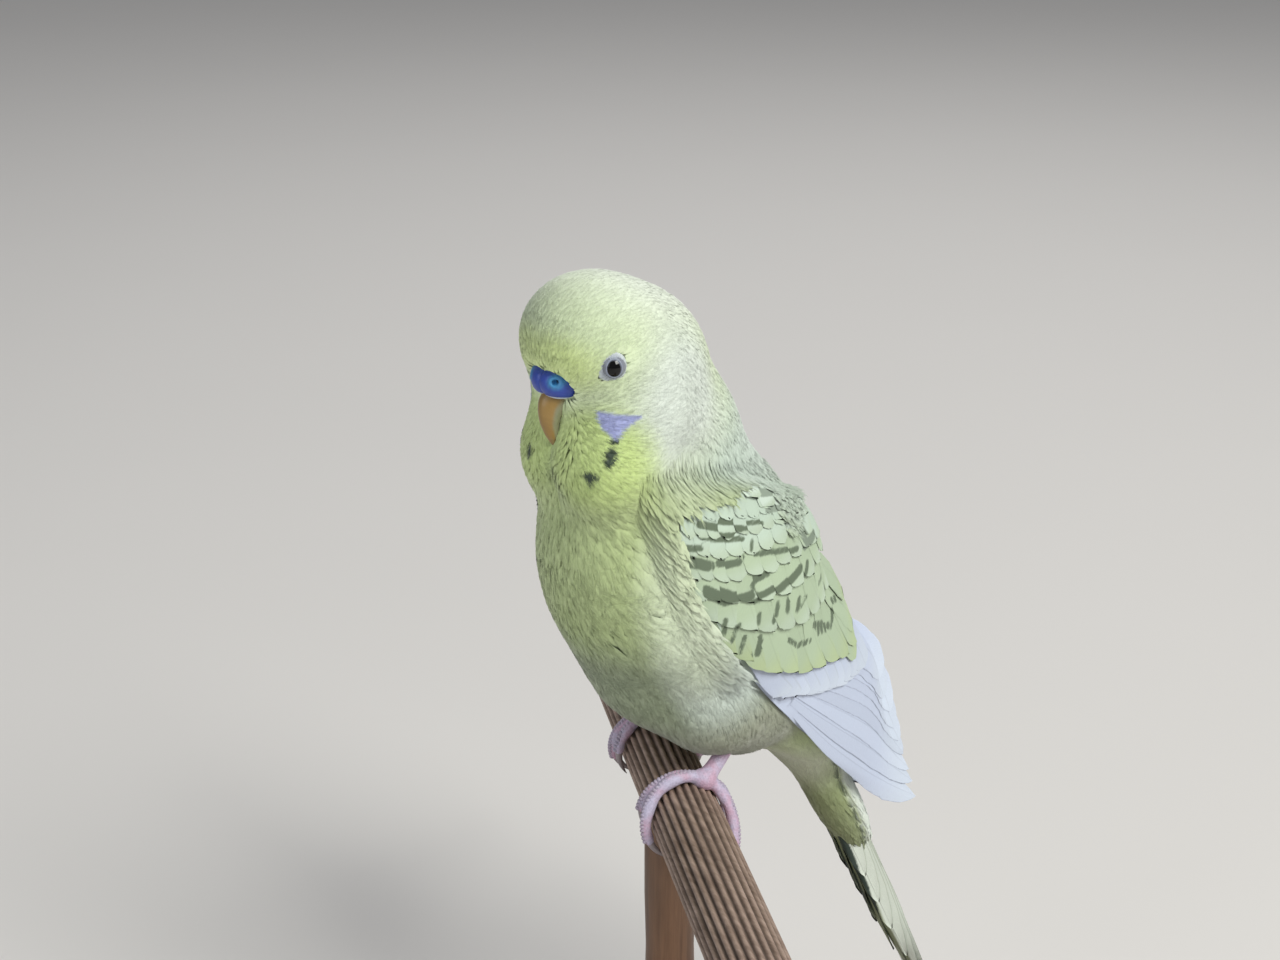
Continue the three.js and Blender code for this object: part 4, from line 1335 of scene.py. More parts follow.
            mould.add(
                points, [(faces + shift).reshape(-1, 3)], Plumage=colour.reshape(-1, 3),
                OFBake=patch.reshape(-1, 2), facing=way.reshape(-1, 3),
            )

    def build(self) -> None:
        """Makes the coat, one piece for each section of the body."""
        rng = np.random.default_rng(self.seed + 1)
        quills = self.quills()
        place = (quills.bake[:, 1] - BAKE_MARGIN) / (1 - 2 * BAKE_MARGIN) * LAST_RING
        for name, low, high in self.sections:
            part = quills.keep((place >= low) & (place < high))
            mould = Mould(name)
            spine, normal, side = self.spines(part)
            self.leaves(mould, part, spine, normal, side)
            self.fans(mould, part, spine, normal, side, rng)
            LOG.info("%s: %d feathers, %d triangles", name, len(part.root), mould.triangles())
            mould.cast(COAT)


@dataclass
class WingCover:
    """Soft feathers of breast, flank and mantle that lie over one wing's borders."""

    sign: int
    seed: int = 21
    beds: tuple[tuple[float, ...], ...] = (
        (-11.0, -4.2, -4.0, 26.0, 0.85, 0.03, 4.2, 0.95, 1.35),
        (-4.0, 27.0, -6.5, -1.4, 0.85, 0.3, 5.2, 0.95, 1.0),
        (-9.0, 14.0, 21.0, 36.0, 0.95, -0.05, 5.0, 1.05, 1.5),
    )

    def build(self) -> None:
        """Makes the feathers; a bed is its reach in u and v, gap, heading, length, half width and lift."""
        rng = np.random.default_rng(self.seed)
        coat = Coat()
        flip = np.array([self.sign, 1, 1])
        mould = Mould(f"coat_over_wing_{side_name(self.sign)}")
        grid_t, grid_turn = (a.ravel() for a in np.meshgrid(np.linspace(0.5, 4, 90), np.arange(0, 180, 2.0)))
        skin = BODY.surface(grid_t, grid_turn)
        for u0, u1, v0, v1, gap, heading, length, half, lift in self.beds:
            grid = np.meshgrid(np.arange(u0, u1, gap / 2.5), np.arange(v0, v1, gap / 2.5))
            grid = vec(*grid).reshape(-1, 2)
            grid = grid + rng.uniform(-0.2, 0.2, grid.shape) * gap
            flat = np.concatenate([grid, np.zeros((len(grid), 1))], axis=1)
            root = grid[thinned(flat, np.full(len(grid), gap), rng)]
            count = len(root)
            way = unit(vec(1.0, heading + rng.normal(0, 0.08, count)))
            reach = length * rng.uniform(0.85, 1.2, count)
            uv = root[:, None, :] + way[:, None, :] * (reach[:, None] * coat.stations)[..., None]
            rise = smooth(coat.stations * 1.2)[None, :]
            high = -0.5 + (lift + rng.uniform(-0.1, 0.15, count)[:, None] + 0.5) * rise
            spine, normal = WING.laid(uv[..., 0], uv[..., 1], high)
            spine[..., 0] = np.maximum(spine[..., 0], 0.3)
            run = unit(np.gradient(spine, axis=1))
            side = unit(np.cross(normal, run))
            nearest = np.array([np.linalg.norm(skin - p, axis=1).argmin() for p in spine[:, 0]])
            turn = grid_turn[nearest] if self.sign > 0 else 360 - grid_turn[nearest]
            wide = half * rng.uniform(0.85, 1.1, count)
            bake = bake_place(grid_t[nearest], turn)
            quills = Quills(spine[:, 0] * flip, run[:, 0] * flip, reach, wide, np.zeros(count), bake)
            laid = (spine * flip, normal * flip, side * flip)
            coat.leaves(mould, quills, *laid)
            coat.fans(mould, quills, *laid, rng)
        LOG.info("%s: %d triangles", mould.name, mould.triangles())
        mould.cast(COAT)


@dataclass
class Skin:
    """The one skin under the feathers, from the bill to the end of the tail coverts."""

    depth: float = 0.85
    rows: int = 150
    columns: int = 120

    def build(self) -> None:
        """Makes the skin in place of the head, neck and torso."""
        t = np.linspace(0.012, 4.97, self.rows)
        turn = np.arange(self.columns) * 360 / self.columns
        grid_t, grid_turn = np.meshgrid(t, turn, indexing="ij")
        points, faces = loft(BODY.surface(grid_t, grid_turn, -self.depth))
        bake = vec(grid_turn / 360, grid_t / LAST_RING).reshape(-1, 2)
        bake = np.vstack([bake, [[0.5, 0.0], [0.5, 1.0]]])
        mould = Mould("skin")
        mould.add(points, faces, Plumage=COLOURING.at(points), OFBake=bake)
        mould.cast(DOWN, ["head", "neck", "torso"])


# Wing and tail feathers


class Pattern(Enum):
    """How a feather is marked."""

    MARKED = "marked"
    EDGED = "edged"


class Outline(Enum):
    """How wide a feather is along its length, as pairs of place and share of its half width."""

    ROUND = ((0.0, 0.5), (0.25, 0.8), (0.55, 1.0), (0.78, 0.93), (0.9, 0.68), (0.97, 0.36), (1.0, 0.06))
    SQUARE = ((0.0, 0.5), (0.3, 0.8), (0.6, 1.0), (0.88, 0.98), (0.95, 0.86), (0.985, 0.6), (1.0, 0.25))
    BLADE = ((0.0, 0.4), (0.3, 0.8), (0.6, 1.0), (0.8, 0.92), (0.91, 0.66), (0.97, 0.36), (1.0, 0.06))
    POINTED = ((0.0, 0.5), (0.3, 0.95), (0.6, 1.0), (0.8, 0.8), (0.92, 0.48), (0.98, 0.2), (1.0, 0.04))

    def width(self, share: Array) -> Array:
        """The half width at shares of the length."""
        places, widths = zip(*self.value)
        return np.interp(share, places, widths)


@dataclass(frozen=True)
class Stroke:
    """A dark mark on the wing's flat map, from one place to another with a half width."""

    u0: float
    v0: float
    u1: float
    v1: float
    half: float
    grey: float = 0.0

    def depth(self, u: Array, v: Array) -> Array:
        """How deep places lie inside the mark, in millimetres."""
        du, dv = self.u1 - self.u0, self.v1 - self.v0
        share = np.clip(((u - self.u0) * du + (v - self.v0) * dv) / (du * du + dv * dv), 0, 1)
        return self.half - np.hypot(u - self.u0 - share * du, v - self.v0 - share * dv)


STROKES = tuple(
    Stroke(*places)
    for places in (
        (-2.2, 7.0, -1.0, 10.8, 0.5), (1.0, 4.0, 5.0, 10.8, 0.7), (5.0, 10.8, 7.5, 14.8, 0.5),
        (-1.0, 0.5, 0.5, 2.8, 0.4), (3.5, 3.2, 7.5, 10.5, 0.55), (3.5, -0.8, 5.0, 2.2, 0.55),
        (6.0, 0.0, 8.5, 3.0, 0.9), (8.8, 4.5, 10.8, 8.8, 0.7), (12.2, 11.5, 14.5, 14.8, 0.6),
        (15.0, 15.2, 19.8, 20.2, 0.6), (12.0, 1.5, 15.8, 4.2, 1.15), (15.8, 4.2, 17.8, 7.8, 1.0),
        (16.5, 9.2, 18.0, 12.2, 0.7), (19.2, 7.5, 21.8, 12.8, 0.7), (21.8, 12.8, 24.2, 19.0, 0.85),
        (10.5, 11.2, 9.0, 12.2, 0.4), (26.5, 19.2, 26.0, 21.0, 0.7), (35.8, 21.2, 37.5, 23.2, 0.6),
        (23.5, 6.5, 22.2, 7.6, 0.45), (25.8, 9.0, 24.6, 10.5, 0.55), (27.8, 11.0, 26.3, 12.5, 0.6),
        (30.5, 13.0, 29.3, 14.8, 0.6), (31.0, 14.2, 31.2, 16.4, 0.5), (40.2, 14.8, 49.5, 18.8, 0.7),
        (49.5, 18.8, 51.0, 21.5, 0.8), (50.0, 23.0, 54.0, 25.0, 0.7), (40.5, 12.2, 36.8, 9.8, 0.6),
        (32.2, 9.0, 36.8, 9.8, 0.5), (43.5, 14.5, 48.0, 16.8, 0.5), (28.4, 3.2, 26.8, 5.4, 0.8),
        (21.2, 0.4, 18.8, 2.5, 0.5), (23.2, 1.0, 21.3, 3.5, 0.45), (26.0, 1.2, 24.2, 3.3, 0.45),
        (1.5, 18.0, 3.5, 21.0, 1.1, 1), (6.5, 18.2, 9.8, 22.0, 0.95, 1), (9.8, 22.5, 6.2, 23.2, 0.6, 1),
        (10.4, 24.0, 13.8, 28.0, 0.8, 1), (16.5, 24.0, 23.5, 23.2, 1.0, 0.6),
        (23.5, 23.2, 26.2, 26.8, 0.9, 0.6), (39.8, 31.0, 43.5, 28.8, 0.7, 0.5),
    )
)


@dataclass(frozen=True)
class Row:
    """A row of like feathers: where its tips and roots run, its widths and lifts, and its colours."""

    name: str
    count: int
    tips: tuple[Pair, Pair, Pair]
    roots: tuple[Pair, Pair, Pair]
    widths: Pair
    lifts: Pair
    rise: float = 0.6
    outline: Outline = Outline.ROUND
    pattern: Pattern = Pattern.MARKED
    ground: Hue = Hue.WING_PALE
    tip_hue: Hue = Hue.WING_SOFT
    tilt: float = 0.2
    shaft: float = 0.3
    steps: int = 18
    curl: float = 0.0


@dataclass
class WingFeathers:
    """One wing: its bed of small feathers and the rows of vanes that lie over it."""

    sign: int
    seed: int = 5
    rows: tuple[Row, ...] = (
        Row("primary", 9, ((102.5, 0.5), (99.5, 10), (84, 18)), ((46, 2.4), (48, 8), (44, 14.5)), (5.4, 9.4),
            (-0.5, 0.3), 0.2, Outline.BLADE, Pattern.EDGED, Hue.LILAC_WHITE, Hue.WHITE, 0.1, 0.5, 30, 0.34),
        Row("secondary", 10, ((45, 4.4), (57, 8.5), (73, 18)), ((20, 4), (30, 12), (44, 25)), (7.4, 9.6),
            (0.0, 0.5), 0.4, Outline.SQUARE, Pattern.EDGED, Hue.LILAC_WHITE, Hue.WHITE, 0.1, 0.4, 26, 0.3),
        Row("tertial", 3, ((66, 20), (65, 24), (60, 29)), ((38, 20), (37, 25), (34, 29)), (8.5, 8.5),
            (0.9, 1.2), tip_hue=Hue.WING_LIME, shaft=0.4, steps=20, curl=0.1),
        Row("greater", 10, ((26, 0.9), (41, 5.5), (66, 20.5)), ((11, 2.4), (26, 9), (46, 27)), (5.6, 8.4),
            (0.45, 1.0), tip_hue=Hue.WING_LIME),
        Row("median", 9, ((18, 0.8), (30, 9), (48, 26)), ((8, 3), (18, 12), (33, 29)), (5.8, 7.8),
            (0.6, 1.1), shaft=0.2),
        Row("lesser_5", 9, ((13.5, 0.2), (21, 9), (33, 25)), ((5, 2), (11, 11), (22, 28)), (5.6, 7),
            (0.65, 1.15), tilt=0.18, shaft=0.1),
        Row("lesser_4", 9, ((9.5, 0.6), (15, 9), (25, 24)), ((1, 2.5), (6, 11), (15, 27)), (5.2, 6.4),
            (0.7, 1.2), tilt=0.16, shaft=0.1),
        Row("lesser_3", 8, ((6, 1), (10, 9), (18, 22)), ((-1.5, 3), (2, 11), (8, 25)), (5, 6),
            (0.65, 1.2), ground=Hue.WING_MINT, tilt=0.14, shaft=0.1),
        Row("lesser_2", 8, ((2.6, 1.2), (6, 9), (12, 20)), ((-3.5, 4), (-1, 11), (3, 22)), (4.6, 5.6),
            (0.65, 1.2), ground=Hue.WING_MINT, tilt=0.12, shaft=0.1),
        Row("lesser_1", 7, ((-0.6, 1.4), (2, 9), (7, 18)), ((-5, 3), (-4, 10), (-0.5, 19)), (4.4, 5.4),
            (0.5, 1.15), ground=Hue.WING_MINT, tip_hue=Hue.WING_MINT, tilt=0.12, shaft=0.1),
        Row("scapular_3", 5, ((14, 22), (28, 27), (44, 32)), ((4, 24), (17, 29), (32, 34)), (7, 8),
            (1.1, 1.45), shaft=0.2),
        Row("scapular_2", 5, ((7, 18.5), (18, 24), (32, 30)), ((-2, 20), (8, 26), (21, 32)), (6.6, 7.4),
            (1.1, 1.5), ground=Hue.WING_MINT, shaft=0.2),
        Row("scapular_1", 5, ((2, 16.5), (10, 22), (22, 29)), ((-4, 17), (2, 24), (12, 31)), (6, 7),
            (1.1, 1.5), ground=Hue.NAPE, shaft=0.2),
    )

    @staticmethod
    def outline_knots() -> tuple[Array, Array]:
        """How high the wing reaches at places along it."""
        u = np.array([0, 10, 20, 30, 40, 50, 60, 70, 80, 90, 97, 101], float)
        return u, np.array([24, 32, 35, 36.5, 37, 34, 27, 21.5, 17.5, 13, 8, 2], float)

    def vane(self, mould: Mould, row: Row, index: int, rng: np.random.Generator, cell: Array) -> None:
        """Adds one feather of a row.

        Args:
            mould: the piece it goes into.
            row: the row that it belongs to.
            index: its place in the row.
            rng: the source of its small irregularities.
            cell: the lower corner and size of its own field of the bake map.
        """
        share = index / (row.count - 1)
        tip = bend(row.tips, share) + rng.normal(0, 0.2, 2)
        root = bend(row.roots, share) + rng.normal(0, 0.2, 2)
        half = np.interp(share, [0, 1], row.widths) / 2 * rng.uniform(0.95, 1.05)
        s = np.concatenate([np.linspace(0, 0.8, row.steps - 7), np.linspace(0.84, 1, 7)])
        a = np.linspace(-1, 1, 15)
        length = float(np.hypot(*(tip - root)))
        control = (tip + root) / 2
        if row.curl:
            heading = unit(np.array([1.0, -0.9 * min(1.0, share * 1.6)]))
            control = tip - heading * length * row.curl
        line = bend((root, control, tip), s)
        way = unit(np.gradient(line, axis=0))
        across = vec(-way[:, 1], way[:, 0])
        ragged = 1 + rng.normal(0, 0.018, (len(s), 2)) * (s[:, None] > 0.3)
        edge = np.where(a[None, :] < 0, ragged[:, :1], ragged[:, 1:])
        shift = half * row.outline.width(s)[:, None] * edge * a[None, :]
        ahead = bend(row.tips, min(share + 0.05, 1)) - bend(row.tips, max(share - 0.05, 0))
        slope = np.clip((ahead @ way[-1]) / (ahead @ across[-1]), -1.2, 1.2)
        marked = row.pattern is Pattern.MARKED
        cut = rng.uniform(-0.4, 0.15, 15)[None, :] * marked + shift * slope * (0.3 if marked else 0.9)
        frayed = cut * smooth((s - 0.7) / 0.3)[:, None] * (row.name != "primary")
        u = line[:, :1] + across[:, :1] * shift + way[:, :1] * frayed
        v = line[:, 1:] + across[:, 1:] * shift + way[:, 1:] * frayed
        top = np.interp(share, [0, 1], row.lifts) - row.rise * (1 - smooth(s))[:, None]
        lift = top - a[None, :] * row.tilt - 0.08 * a[None, :] ** 2 + 0.06 * (1 - np.abs(a[None, :])) ** 2
        upper, normal = WING.laid(u, v, lift)
        lower = upper - normal * 0.12
        past = smooth((0.55 + 0.13 * index - upper[..., 0]) / 0.5)[..., None]
        inner = 0.3 + 0.13 * index
        upper[..., 0] = np.maximum(upper[..., 0], inner)
        lower[..., 0] = np.maximum(lower[..., 0], inner - 0.07)
        points, faces = sheet(upper, lower)
        grid_s, grid_a = np.meshgrid(s, a, indexing="ij")
        mark, grey = self.mark(row, u, v, grid_a, rng)
        ends = smooth((grid_s - 0.6) / 0.35)[..., None]
        ground = between(row.ground.rgb(), row.tip_hue.rgb(), ends) * rng.uniform(0.95, 1.04)
        dark = between(Hue.WING_DARK.rgb(), Hue.WING_GREY.rgb(), grey)
        if row.pattern is Pattern.EDGED:
            dark = np.broadcast_to(Hue.PRIMARY_LINE.rgb(), ground.shape)
        shade = unit(facing(upper, normal) * 0.45 + normal * 0.55)
        shade = unit(between(shade, np.array([1.0, 0.0, 0.3]), past))
        values = {
            "Ground": ground, "Mark": dark, "mark": mark[..., None],
            "Vane": vec(grid_a, grid_s * length / 10),
            "OFBake": cell[:2] + vec((grid_a + 1) / 2, grid_s) * cell[2:] * 0.9,
            "shaft": np.full(grid_s.shape + (1,), row.shaft),
        }
        both = {key: np.tile(v.reshape(-1, v.shape[-1]), (2, 1)) for key, v in values.items()}
        both = {key: v[:, 0] if v.shape[1] == 1 else v for key, v in both.items()}
        self.put(mould, points, faces, two_sided(shade), **both)

    def put(self, mould: Mould, points: Array, faces: Sequence[Array], shade: Array, **values: Array) -> None:
        """Adds a sheet of the left wing to the mould, mirrored for the right one.

        Args:
            mould: the piece it goes into.
            points: the sheet's points.
            faces: its faces.
            shade: the way that it is shaded as facing.
            values: what else its points carry.
        """
        flip = np.array([self.sign, 1, 1])
        faces = [group[:, :: self.sign] for group in faces]
        mould.add(points * flip, faces, **values, facing=shade * flip)

    @staticmethod
    def mark(row: Row, u: Array, v: Array, a: Array, rng: np.random.Generator) -> tuple[Array, Array]:
        """How deep places on a feather lie inside its dark marks, and how grey the marks are there.

        Args:
            row: the feather's row.
            u: places along the wing.
            v: places up from its lower edge.
            a: the place across the feather, from -1 to 1.
            rng: the source of its small irregularities.

        Returns:
            The depth in millimetres, below zero outside the marks, and the greyness from 0 to 1.
        """
        grey = np.zeros(u.shape + (1,))
        if row.pattern is Pattern.EDGED:
            return np.maximum(-a, 0) ** 6 * 0.7 - 0.68, grey
        depth = np.full(u.shape, -2.0)
        du, dv = rng.normal(0, 0.28, 2)
        for stroke in STROKES:
            inside = stroke.depth(u + du, v + dv)
            grey = np.where((inside > depth)[..., None], stroke.grey, grey)
            depth = np.maximum(depth, inside)
        return depth - 3 * smooth((-1.2 - u) / 1.5), grey

    def bed(self, mould: Mould) -> None:
        """Adds the wing's body under the vanes, close on the flank.

        Args:
            mould: the piece it goes into.
        """
        stations = np.array([
            (0.5, 18, 2), (4, 25, 3.2), (9, 29, 4), (15, 31.5, 4.6), (22, 33, 5), (29, 33.5, 5),
            (36, 33, 4.6), (43, 31.5, 4), (50, 28, 3.4), (57, 22, 2.6), (63, 15, 1.8), (68, 9.5, 1.2),
        ])
        u = np.linspace(0.5, 68, 44)[:, None]
        highest = np.interp(u, stations[:, 0], stations[:, 1])
        depth = np.interp(u, stations[:, 0], stations[:, 2])
        v = 0.6 + (highest - 0.6) * np.linspace(0, 1, 20)[None, :]
        u = np.broadcast_to(u, v.shape)
        face, normal = WING.at(u, v)
        deep = np.zeros(v.shape)
        open_ = np.ones(v.shape, bool)
        for _ in range(50):
            open_ &= (deep < depth) & (BODY.outside(face - normal * deep[..., None]) > 0.3)
            deep = np.where(open_, deep + 0.1, deep)
        edge = smooth(np.minimum(np.minimum(v / 5, (highest - v) / 4), np.minimum(u / 7, (56 - u) / 14)))
        lift = np.maximum(-1.5 + 1.1 * edge, 0.4 - deep)
        upper = face + normal * lift[..., None]
        points, faces = sheet(upper, face - normal * deep[..., None])
        pale = np.tile(smooth((u - 30) / 8).ravel(), 2)[:, None]
        ground = between(Hue.WING_MINT.rgb(), Hue.LILAC_WHITE.rgb(), pale)
        zero = np.zeros(len(points))
        patch = np.tile(vec(v / 40 * 0.06 + 0.93, u / 70 * 0.06 + 0.93).reshape(-1, 2), (2, 1))
        vane = np.tile(vec(v / 5, u / 10).reshape(-1, 2), (2, 1))
        values = {"Ground": ground, "Mark": ground, "mark": zero - 2, "Vane": vane, "OFBake": patch}
        self.put(mould, points, faces, two_sided(facing(upper, normal)), **values, shaft=zero)

    def build(self) -> None:
        """Makes the wing in place of its node."""
        name = side_name(self.sign)
        rng = np.random.default_rng(self.seed)
        mould = Mould(f"wing_feathers_{name}")
        self.bed(mould)
        number, cells = 0, 13
        for row in self.rows:
            for index in range(row.count):
                cell = np.array([number % (cells - 1), number // (cells - 1), 1, 1]) / cells
                self.vane(mould, row, index, rng, cell)
                number += 1
        LOG.info("%s: %d vanes, %d triangles", mould.name, number, mould.triangles())
        mould.cast(VANES, [f"wing_{name}"])


def two_sided(shade: Array) -> Array:
    """Normals for a sheet's upper and lower grids; its rim is shaded like its upper side.

    Args:
        shade: the upper side's normals, rows by columns by three.

    Returns:
        The normals of all its points.
    """
    below = -shade
    below[[0, -1]] = shade[[0, -1]]
    below[:, [0, -1]] = shade[:, [0, -1]]
    return np.concatenate([shade.reshape(-1, 3), below.reshape(-1, 3)])


def sheet(upper: Array, lower: Array) -> tuple[Array, list[Array]]:
    """A thin closed body between an upper and a lower grid of points.

    Args:
        upper: rows by columns by three.
        lower: the same, below it.

    Returns:
        Its points and faces, looking outwards.
    """
    rows, columns = upper.shape[:2]
    count = rows * columns
    top = grid_faces(rows, columns, False)
    number = np.arange(count).reshape(rows, columns)
    rim = np.concatenate([number[0, :-1], number[:-1, -1], number[-1, :0:-1], number[:0:-1, 0]])
    ahead = np.roll(rim, -1)
    wall = vec(rim, rim + count, ahead + count, ahead)
    points = np.vstack([upper.reshape(-1, 3), lower.reshape(-1, 3)])
    return points, outwards(points, [np.vstack([top, top[:, ::-1] + count, wall])])


@dataclass
class Tail:
    """The long tail feathers in pairs, the middle pair longest and uppermost."""

    root: Pair = (-30.5, -1.5)
    slope: float = 63.0
    length: float = 84.0
    pairs: tuple[tuple[float, float, float, float], ...] = (
        (84, 6.4, 0.1, 0), (74, 6.2, 0.6, 0.5), (65, 6.0, 1.15, 1), (56, 5.6, 1.8, 1.5), (48, 5.2, 2.5, 2),
        (40, 4.8, 3.2, 2.5),
    )

    def point(self, along: Array, across: Array, above: Array) -> Array:
        """Points of the tail, whose sides fold down along its middle stretch.

        Args:
            along: millimetres from its root.
            across: millimetres to the left.
            above: millimetres above its face.

        Returns:
            The points in the bird's frame.
        """
        c, s = cos_sin(self.slope)
        folded = smooth((along - 4) / 16) * smooth((self.length - along) / 34)
        past = np.maximum(np.abs(across) - 1.5, 0)
        across = np.sign(across) * (np.abs(across) - 0.5 * past * folded)
        above = above + (0.87 * past - 2.2) * folded
        lift = above - 1.2 * (along / self.length) ** 2
        return vec(across, self.root[0] - along * c - lift * s, self.root[1] - along * s + lift * c)

    def colours(self, along: Array, across: Array) -> tuple[Array, Array]:
        """The colours of the tail, whose underside is pale along its flanks: partly their own pale colour and
        partly painted light for the lit side of the fold.

        Args:
            along: millimetres from its root.
            across: millimetres to the left.

        Returns:
            The upper side's colours and the underside's.
        """
        shape = (along / self.length)[..., None]
        olive = Hue.TAIL_OLIVE.rgb() * (1 - 0.7 * shape) + Hue.TAIL_GREY.rgb() * 0.7 * shape
        # The pale flanks of the underside are partly painted light.
        side = smooth((np.abs(across) - 1.6 + 0.02 * (along - 40)) / 0.6)[..., None]
        return olive * 0.55 + Hue.TAIL_MINT.rgb() * 0.45, between(olive, Hue.TAIL_MINT.rgb(), side)

    def build(self) -> None:
        """Makes the tail feathers in place of the tail's node."""
        rng = np.random.default_rng(3)
        mould = Mould("tail_vanes")
        s = np.concatenate([np.linspace(0, 0.8, 24), np.linspace(0.83, 1, 8)])[:, None]
        a = np.linspace(-1, 1, 9)[None, :]
        outline = Outline.POINTED.width(s)
        above = self.point(np.zeros(1), np.zeros(1), np.ones(1)) - self.point(*[np.zeros(1)] * 3)
        for index, (length, width, lean, depth) in enumerate(self.pairs):
            for sign in (1, -1):
                along = length * s + 0 * a
                shaft = sign * (0.5 + along * math.tan(math.radians(lean)) + 0.6 * outline)
                half = width / 2 * outline * (1 + rng.normal(0, 0.015, s.shape))
                place = shaft + half * a
                top = -depth - (0 if sign > 0 else 0.28) + 0.06 * (1 - np.abs(a)) - 0.1 * a * a
                upper = self.point(along, place, top)
                points, faces = sheet(upper, self.point(along, place, top - 0.18))
                ground = np.concatenate([side.reshape(-1, 3) for side in self.colours(along, place)])
                # The underside's dark mark is a painted shadow along the edge of the folded flank.
                inner = 1.1 * smooth((62 - along) / 20) * smooth((along - 8) / 10)
                mark = (inner - np.abs(np.abs(place) - 0.6 - (60 - along) * 0.035) - 0.2).ravel()
                vane = np.tile(vec(a, along / 10).reshape(-1, 2), (2, 1))
                number = index * 2 + (sign < 0)
                patch = vec((a + 1) / 2 / 14 + number / 13, s * 0.45).reshape(-1, 2)
                patch = np.vstack([patch, patch + np.array([0, 0.5])])
                shade = two_sided(-facing(upper, above))
                mould.add(
                    points, faces, Ground=ground, Mark=np.broadcast_to(Hue.TAIL_PAINTED_SHADOW.rgb(), points.shape),
                    mark=np.concatenate([np.full(len(mark), -2.0), mark]), Vane=vane, OFBake=patch,
                    shaft=np.full(len(points), 1.0), facing=np.roll(shade, len(shade) // 2, axis=0),
                )
        mould.cast(TAIL_VANES, ["tail"])


# The face


@dataclass(frozen=True)
class CereForm:
    """The cere: two soft lobes side by side with a nostril in each."""

    side: float = 1.7
    forward: float = 24.7
    height: float = 71.1
    half: Point = (3.7, 2.1, 2.4)
    sweep: float = 0.07
    nostril: Pair = (3.2, 71.9)
    nostril_radius: float = 0.52

    def outside(self, p: Array) -> Array:
        """How far points lie outside the two lobes."""
        lobe = Lump(self.side, self.forward, self.height, *self.half, -12)
        swept = p + np.array([0, self.sweep, 0]) * (p[..., :1] ** 2)
        return lobe.outside(swept) + 0.06 * np.exp(-((p[..., 0] / 0.35) ** 2))

    def pit(self, p: Array) -> Array:
        """How far points lie from the nearest nostril's axis."""
        return np.hypot(np.abs(p[..., 0]) - self.nostril[0], p[..., 2] - self.nostril[1])

    def front(self, p: Array) -> Array:
        """A soft step that is 1 on the lobes' front."""
        return smooth((p[..., 1] + self.sweep * p[..., 0] ** 2 - self.forward + 0.4) / 0.8)

    def build(self) -> None:
        """Makes the cere in place of its node."""
        rows, columns = 110, 150
        opening = np.radians(np.linspace(1, 179, rows))[:, None]
        turn = np.radians(np.arange(columns) * 360 / columns)[None, :]
        way = vec(np.sin(opening) * np.sin(turn), np.cos(opening), np.sin(opening) * np.cos(turn))
        p = reached(self.outside, np.array([0, self.forward - 0.4, self.height]), way, 8.0, 24)
        away = self.pit(p)
        sunk = 0.9 * smooth((self.nostril_radius - away) / 0.24) * self.front(p)
        swell = 0.14 * np.exp(-(((away - 0.8) / 0.24) ** 2)) * self.front(p)
        points, faces = loft(p - way * (sunk - swell)[..., None])
        away = self.pit(points)
        mould = Mould("cere_lobes")
        mould.add(
            points, faces,
            nostril=np.exp(-((away / 1.5) ** 2)),
            rim=smooth((self.height - 1.45 - points[:, 2]) / 0.6),
            # The pit value is where the nostrils get painted shade.
            pit=smooth((self.nostril_radius - away) / 0.25) * self.front(points),
        )
        mould.cast(CERE_SKIN, ["cere"])


CERE = CereForm()


@dataclass
class Bill:
    """The hooked upper bill and the lower one: forward, height, half width, half depth and heading."""

    upper: tuple[tuple[float, ...], ...] = (
        (19.5, 68.8, 2.3, 2.2, 0), (22.4, 68.3, 2.6, 2.5, -8), (24.3, 66.9, 2.3, 2.3, -40),
        (24.7, 64.8, 1.7, 1.8, -68), (24.2, 62.6, 1.2, 1.25, -88), (23.5, 60.8, 0.7, 0.75, -102),
        (22.9, 59.6, 0.2, 0.2, -110),
    )
    lower: tuple[tuple[float, ...], ...] = (
        (18, 63.6, 2.0, 1.7, 0), (20.0, 63.2, 2.1, 1.7, -6), (21.4, 62.9, 1.8, 1.3, -14),
        (22.2, 62.7, 1.0, 0.7, -20),
    )

    def half_bill(self, name: str, stretches: Sequence[Sequence[float]], node: str, keel: float) -> None:
        """Makes one half of the bill.

        Args:
            name: the piece's name.
            stretches: the sections that it runs through.
            node: the CAD node that it takes the place of.
            keel: how far its upper side is drawn up into a ridge.
        """
        steps, sides = 40, 32
        run = flowing(stretches, steps)
        angle = np.linspace(0, 2 * math.pi, sides, endpoint=False)[None, :]
        forward, height, half_side, half_depth, heading = (run[:, i : i + 1] for i in range(5))
        lift = np.radians(heading + 90)
        half_side, half_depth = np.maximum(half_side, 0.1), np.maximum(half_depth, 0.1)
        up = half_depth * np.cos(angle) + keel * half_depth * np.maximum(np.cos(angle), 0) ** 8
        rings = vec(half_side * np.sin(angle), forward + up * np.cos(lift), height + up * np.sin(lift))
        points, faces = loft(rings)
        along = np.repeat(np.linspace(0, 1, steps), sides)
        flank = np.tile(1 - np.maximum(np.cos(angle[0]), 0), steps)
        mould = Mould(name)
        mould.add(points, faces, along=np.concatenate([along, [0, 1]]), flank=np.concatenate([flank, [1, 0]]))
        mould.cast(BILL, [node])

    def build(self) -> None:
        """Makes both halves."""
        self.half_bill("bill_upper", self.upper, "beak_upper", 0.1)
        self.half_bill("bill_lower", self.lower, "beak_lower", 0.0)


